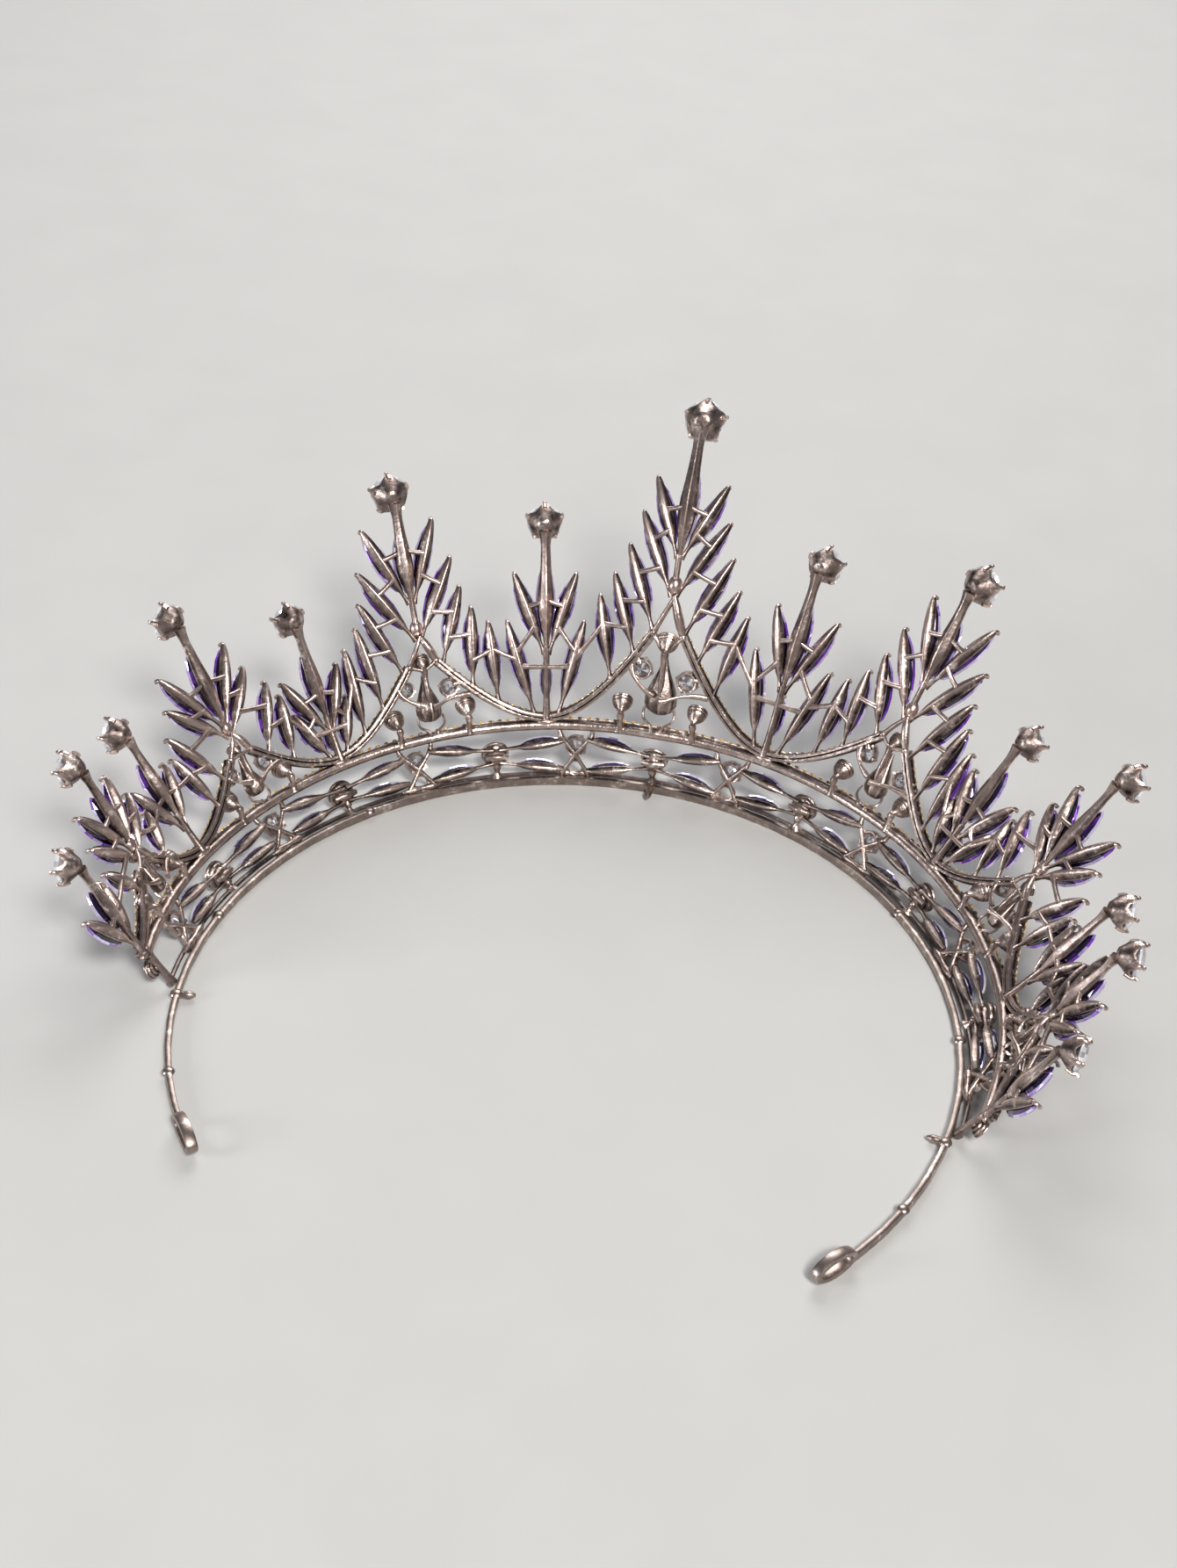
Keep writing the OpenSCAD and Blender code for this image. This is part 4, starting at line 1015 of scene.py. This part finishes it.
stones("round_brilliants", [turned(*cups, BRILLIANT, np.asarray(r) * 0.88, 12) for cups, r in round_sets],
       CLEAR, ("round_stones",), (BRIGHT, 0.3, 0.05))
stones("oval_stones", [turned(*bosses, BRILLIANT, 1.3 * major_q ** 0.5, 12, 1.35)],
       LILAC, (), (BRIGHT, 0.25, 0.05))
stones("paved_stones", [paved(swag_lines(), pitch=1.4, radius=0.48, rise=0.78, lift=1.0),
                        paved([rail_line], pitch=1.75, radius=0.56, rise=1.02, lift=1.55)],
       GOLDEN, (), ([0.5, 0.58, 0.62, 0.64], 0.15, 0.16))
stones("front_stones", [paved(swag_lines(), pitch=1.15, radius=0.53, rise=0.0, lift=0.72, nod=0.15),
                        paved([rail_line], pitch=1.25, radius=0.54, rise=-0.02, lift=1.68, nod=0.15)],
       CLEAR, (), ([0.45, 0.6, 0.7, 0.75], 0.25, 0.2))

# Pale floor, soft light and the camera, in metres
FLOOR_HALF, FLOOR_Z = 4, -0.00005
floor_mesh = bpy.data.meshes.new("floor")
corners = [(x * FLOOR_HALF, y * FLOOR_HALF, FLOOR_Z) for x, y in ((-1, -1), (1, -1), (1, 1), (-1, 1))]
floor_mesh.from_pydata(corners, [], [(0, 1, 2, 3)])
floor = bpy.data.objects.new("floor", floor_mesh)
bpy.context.scene.collection.objects.link(floor)
paint = Finish("pale_floor")
floor_mesh.materials.append(paint.surface(
    Base_Color=paint.mix(paint.noise(40.0, 2.0), (0.48, 0.476, 0.465, 1), (0.52, 0.515, 0.502, 1)),
    Roughness=0.8))

world = bpy.data.worlds.new("studio")
bpy.context.scene.world = world
world.use_nodes = True
background = world.node_tree.nodes["Background"]
background.inputs["Color"].default_value = (0.72, 0.76, 0.84, 1)
background.inputs["Strength"].default_value = 0.16


def stand(thing, place, x, y, z):
    """Links a lamp or camera to the scene at its place, with its axes along x, y and z."""
    bpy.context.scene.collection.objects.link(thing)
    thing.location = place
    columns = np.stack([x, y, z], axis=-1)
    thing.rotation_euler = Matrix([list(map(float, row)) for row in columns]).to_euler()


AIM = np.array((0.0, 0.0, 0.03))


def soft_light(name, place, power, colour, size, kind="AREA"):
    """A lamp turned toward the crown: square, with its size in metres, or a sun, with its size as an
    angle."""
    data = bpy.data.lights.new(name, kind)
    data.energy, data.color = power, colour
    if kind == "SUN":
        data.angle = math.radians(size)
    else:
        data.size = size
    z = unit(np.array(place, float) - AIM)
    x = unit(np.cross((0.0, 0.1, 1.0), z))
    stand(bpy.data.objects.new(name, data), place, x, np.cross(z, x), z)


soft_light("key_light", (-0.3, 0.5, 0.7), 4.6, (1.0, 0.97, 0.93), 0.2)
soft_light("fill_light", (0.6, 0.4, 0.25), 2.2, (0.93, 0.96, 1.0), 0.22)
soft_light("back_light", (0.1, -0.6, 0.6), 4.0, (1, 1, 1), 0.5)
soft_light("far_light", (-0.6, 1.0, 1.37), 1.5, (1.0, 0.98, 0.95), 11, "SUN")

CAMERA_AT = np.array((-0.06598472, 0.32640428, 0.29465071))
CAMERA_AIM = np.array((0.00710925, -0.0135989, 0.020))
CAMERA_ROLL, SENSOR, LENS, CLIP_START = 0.038604, 24, 36.17, 0.01
z = unit(CAMERA_AT - CAMERA_AIM)
x = unit(np.cross(UP, z))
y = np.cross(z, x)
c, s = math.cos(CAMERA_ROLL), math.sin(CAMERA_ROLL)
camera_data = bpy.data.cameras.new("camera")
camera_data.sensor_fit, camera_data.sensor_height = "VERTICAL", SENSOR
camera_data.lens, camera_data.clip_start = LENS, CLIP_START
camera = bpy.data.objects.new("camera", camera_data)
stand(camera, CAMERA_AT, c * x + s * y, -s * x + c * y, z)
bpy.context.scene.camera = camera
bpy.context.scene.view_settings.view_transform = "Standard"
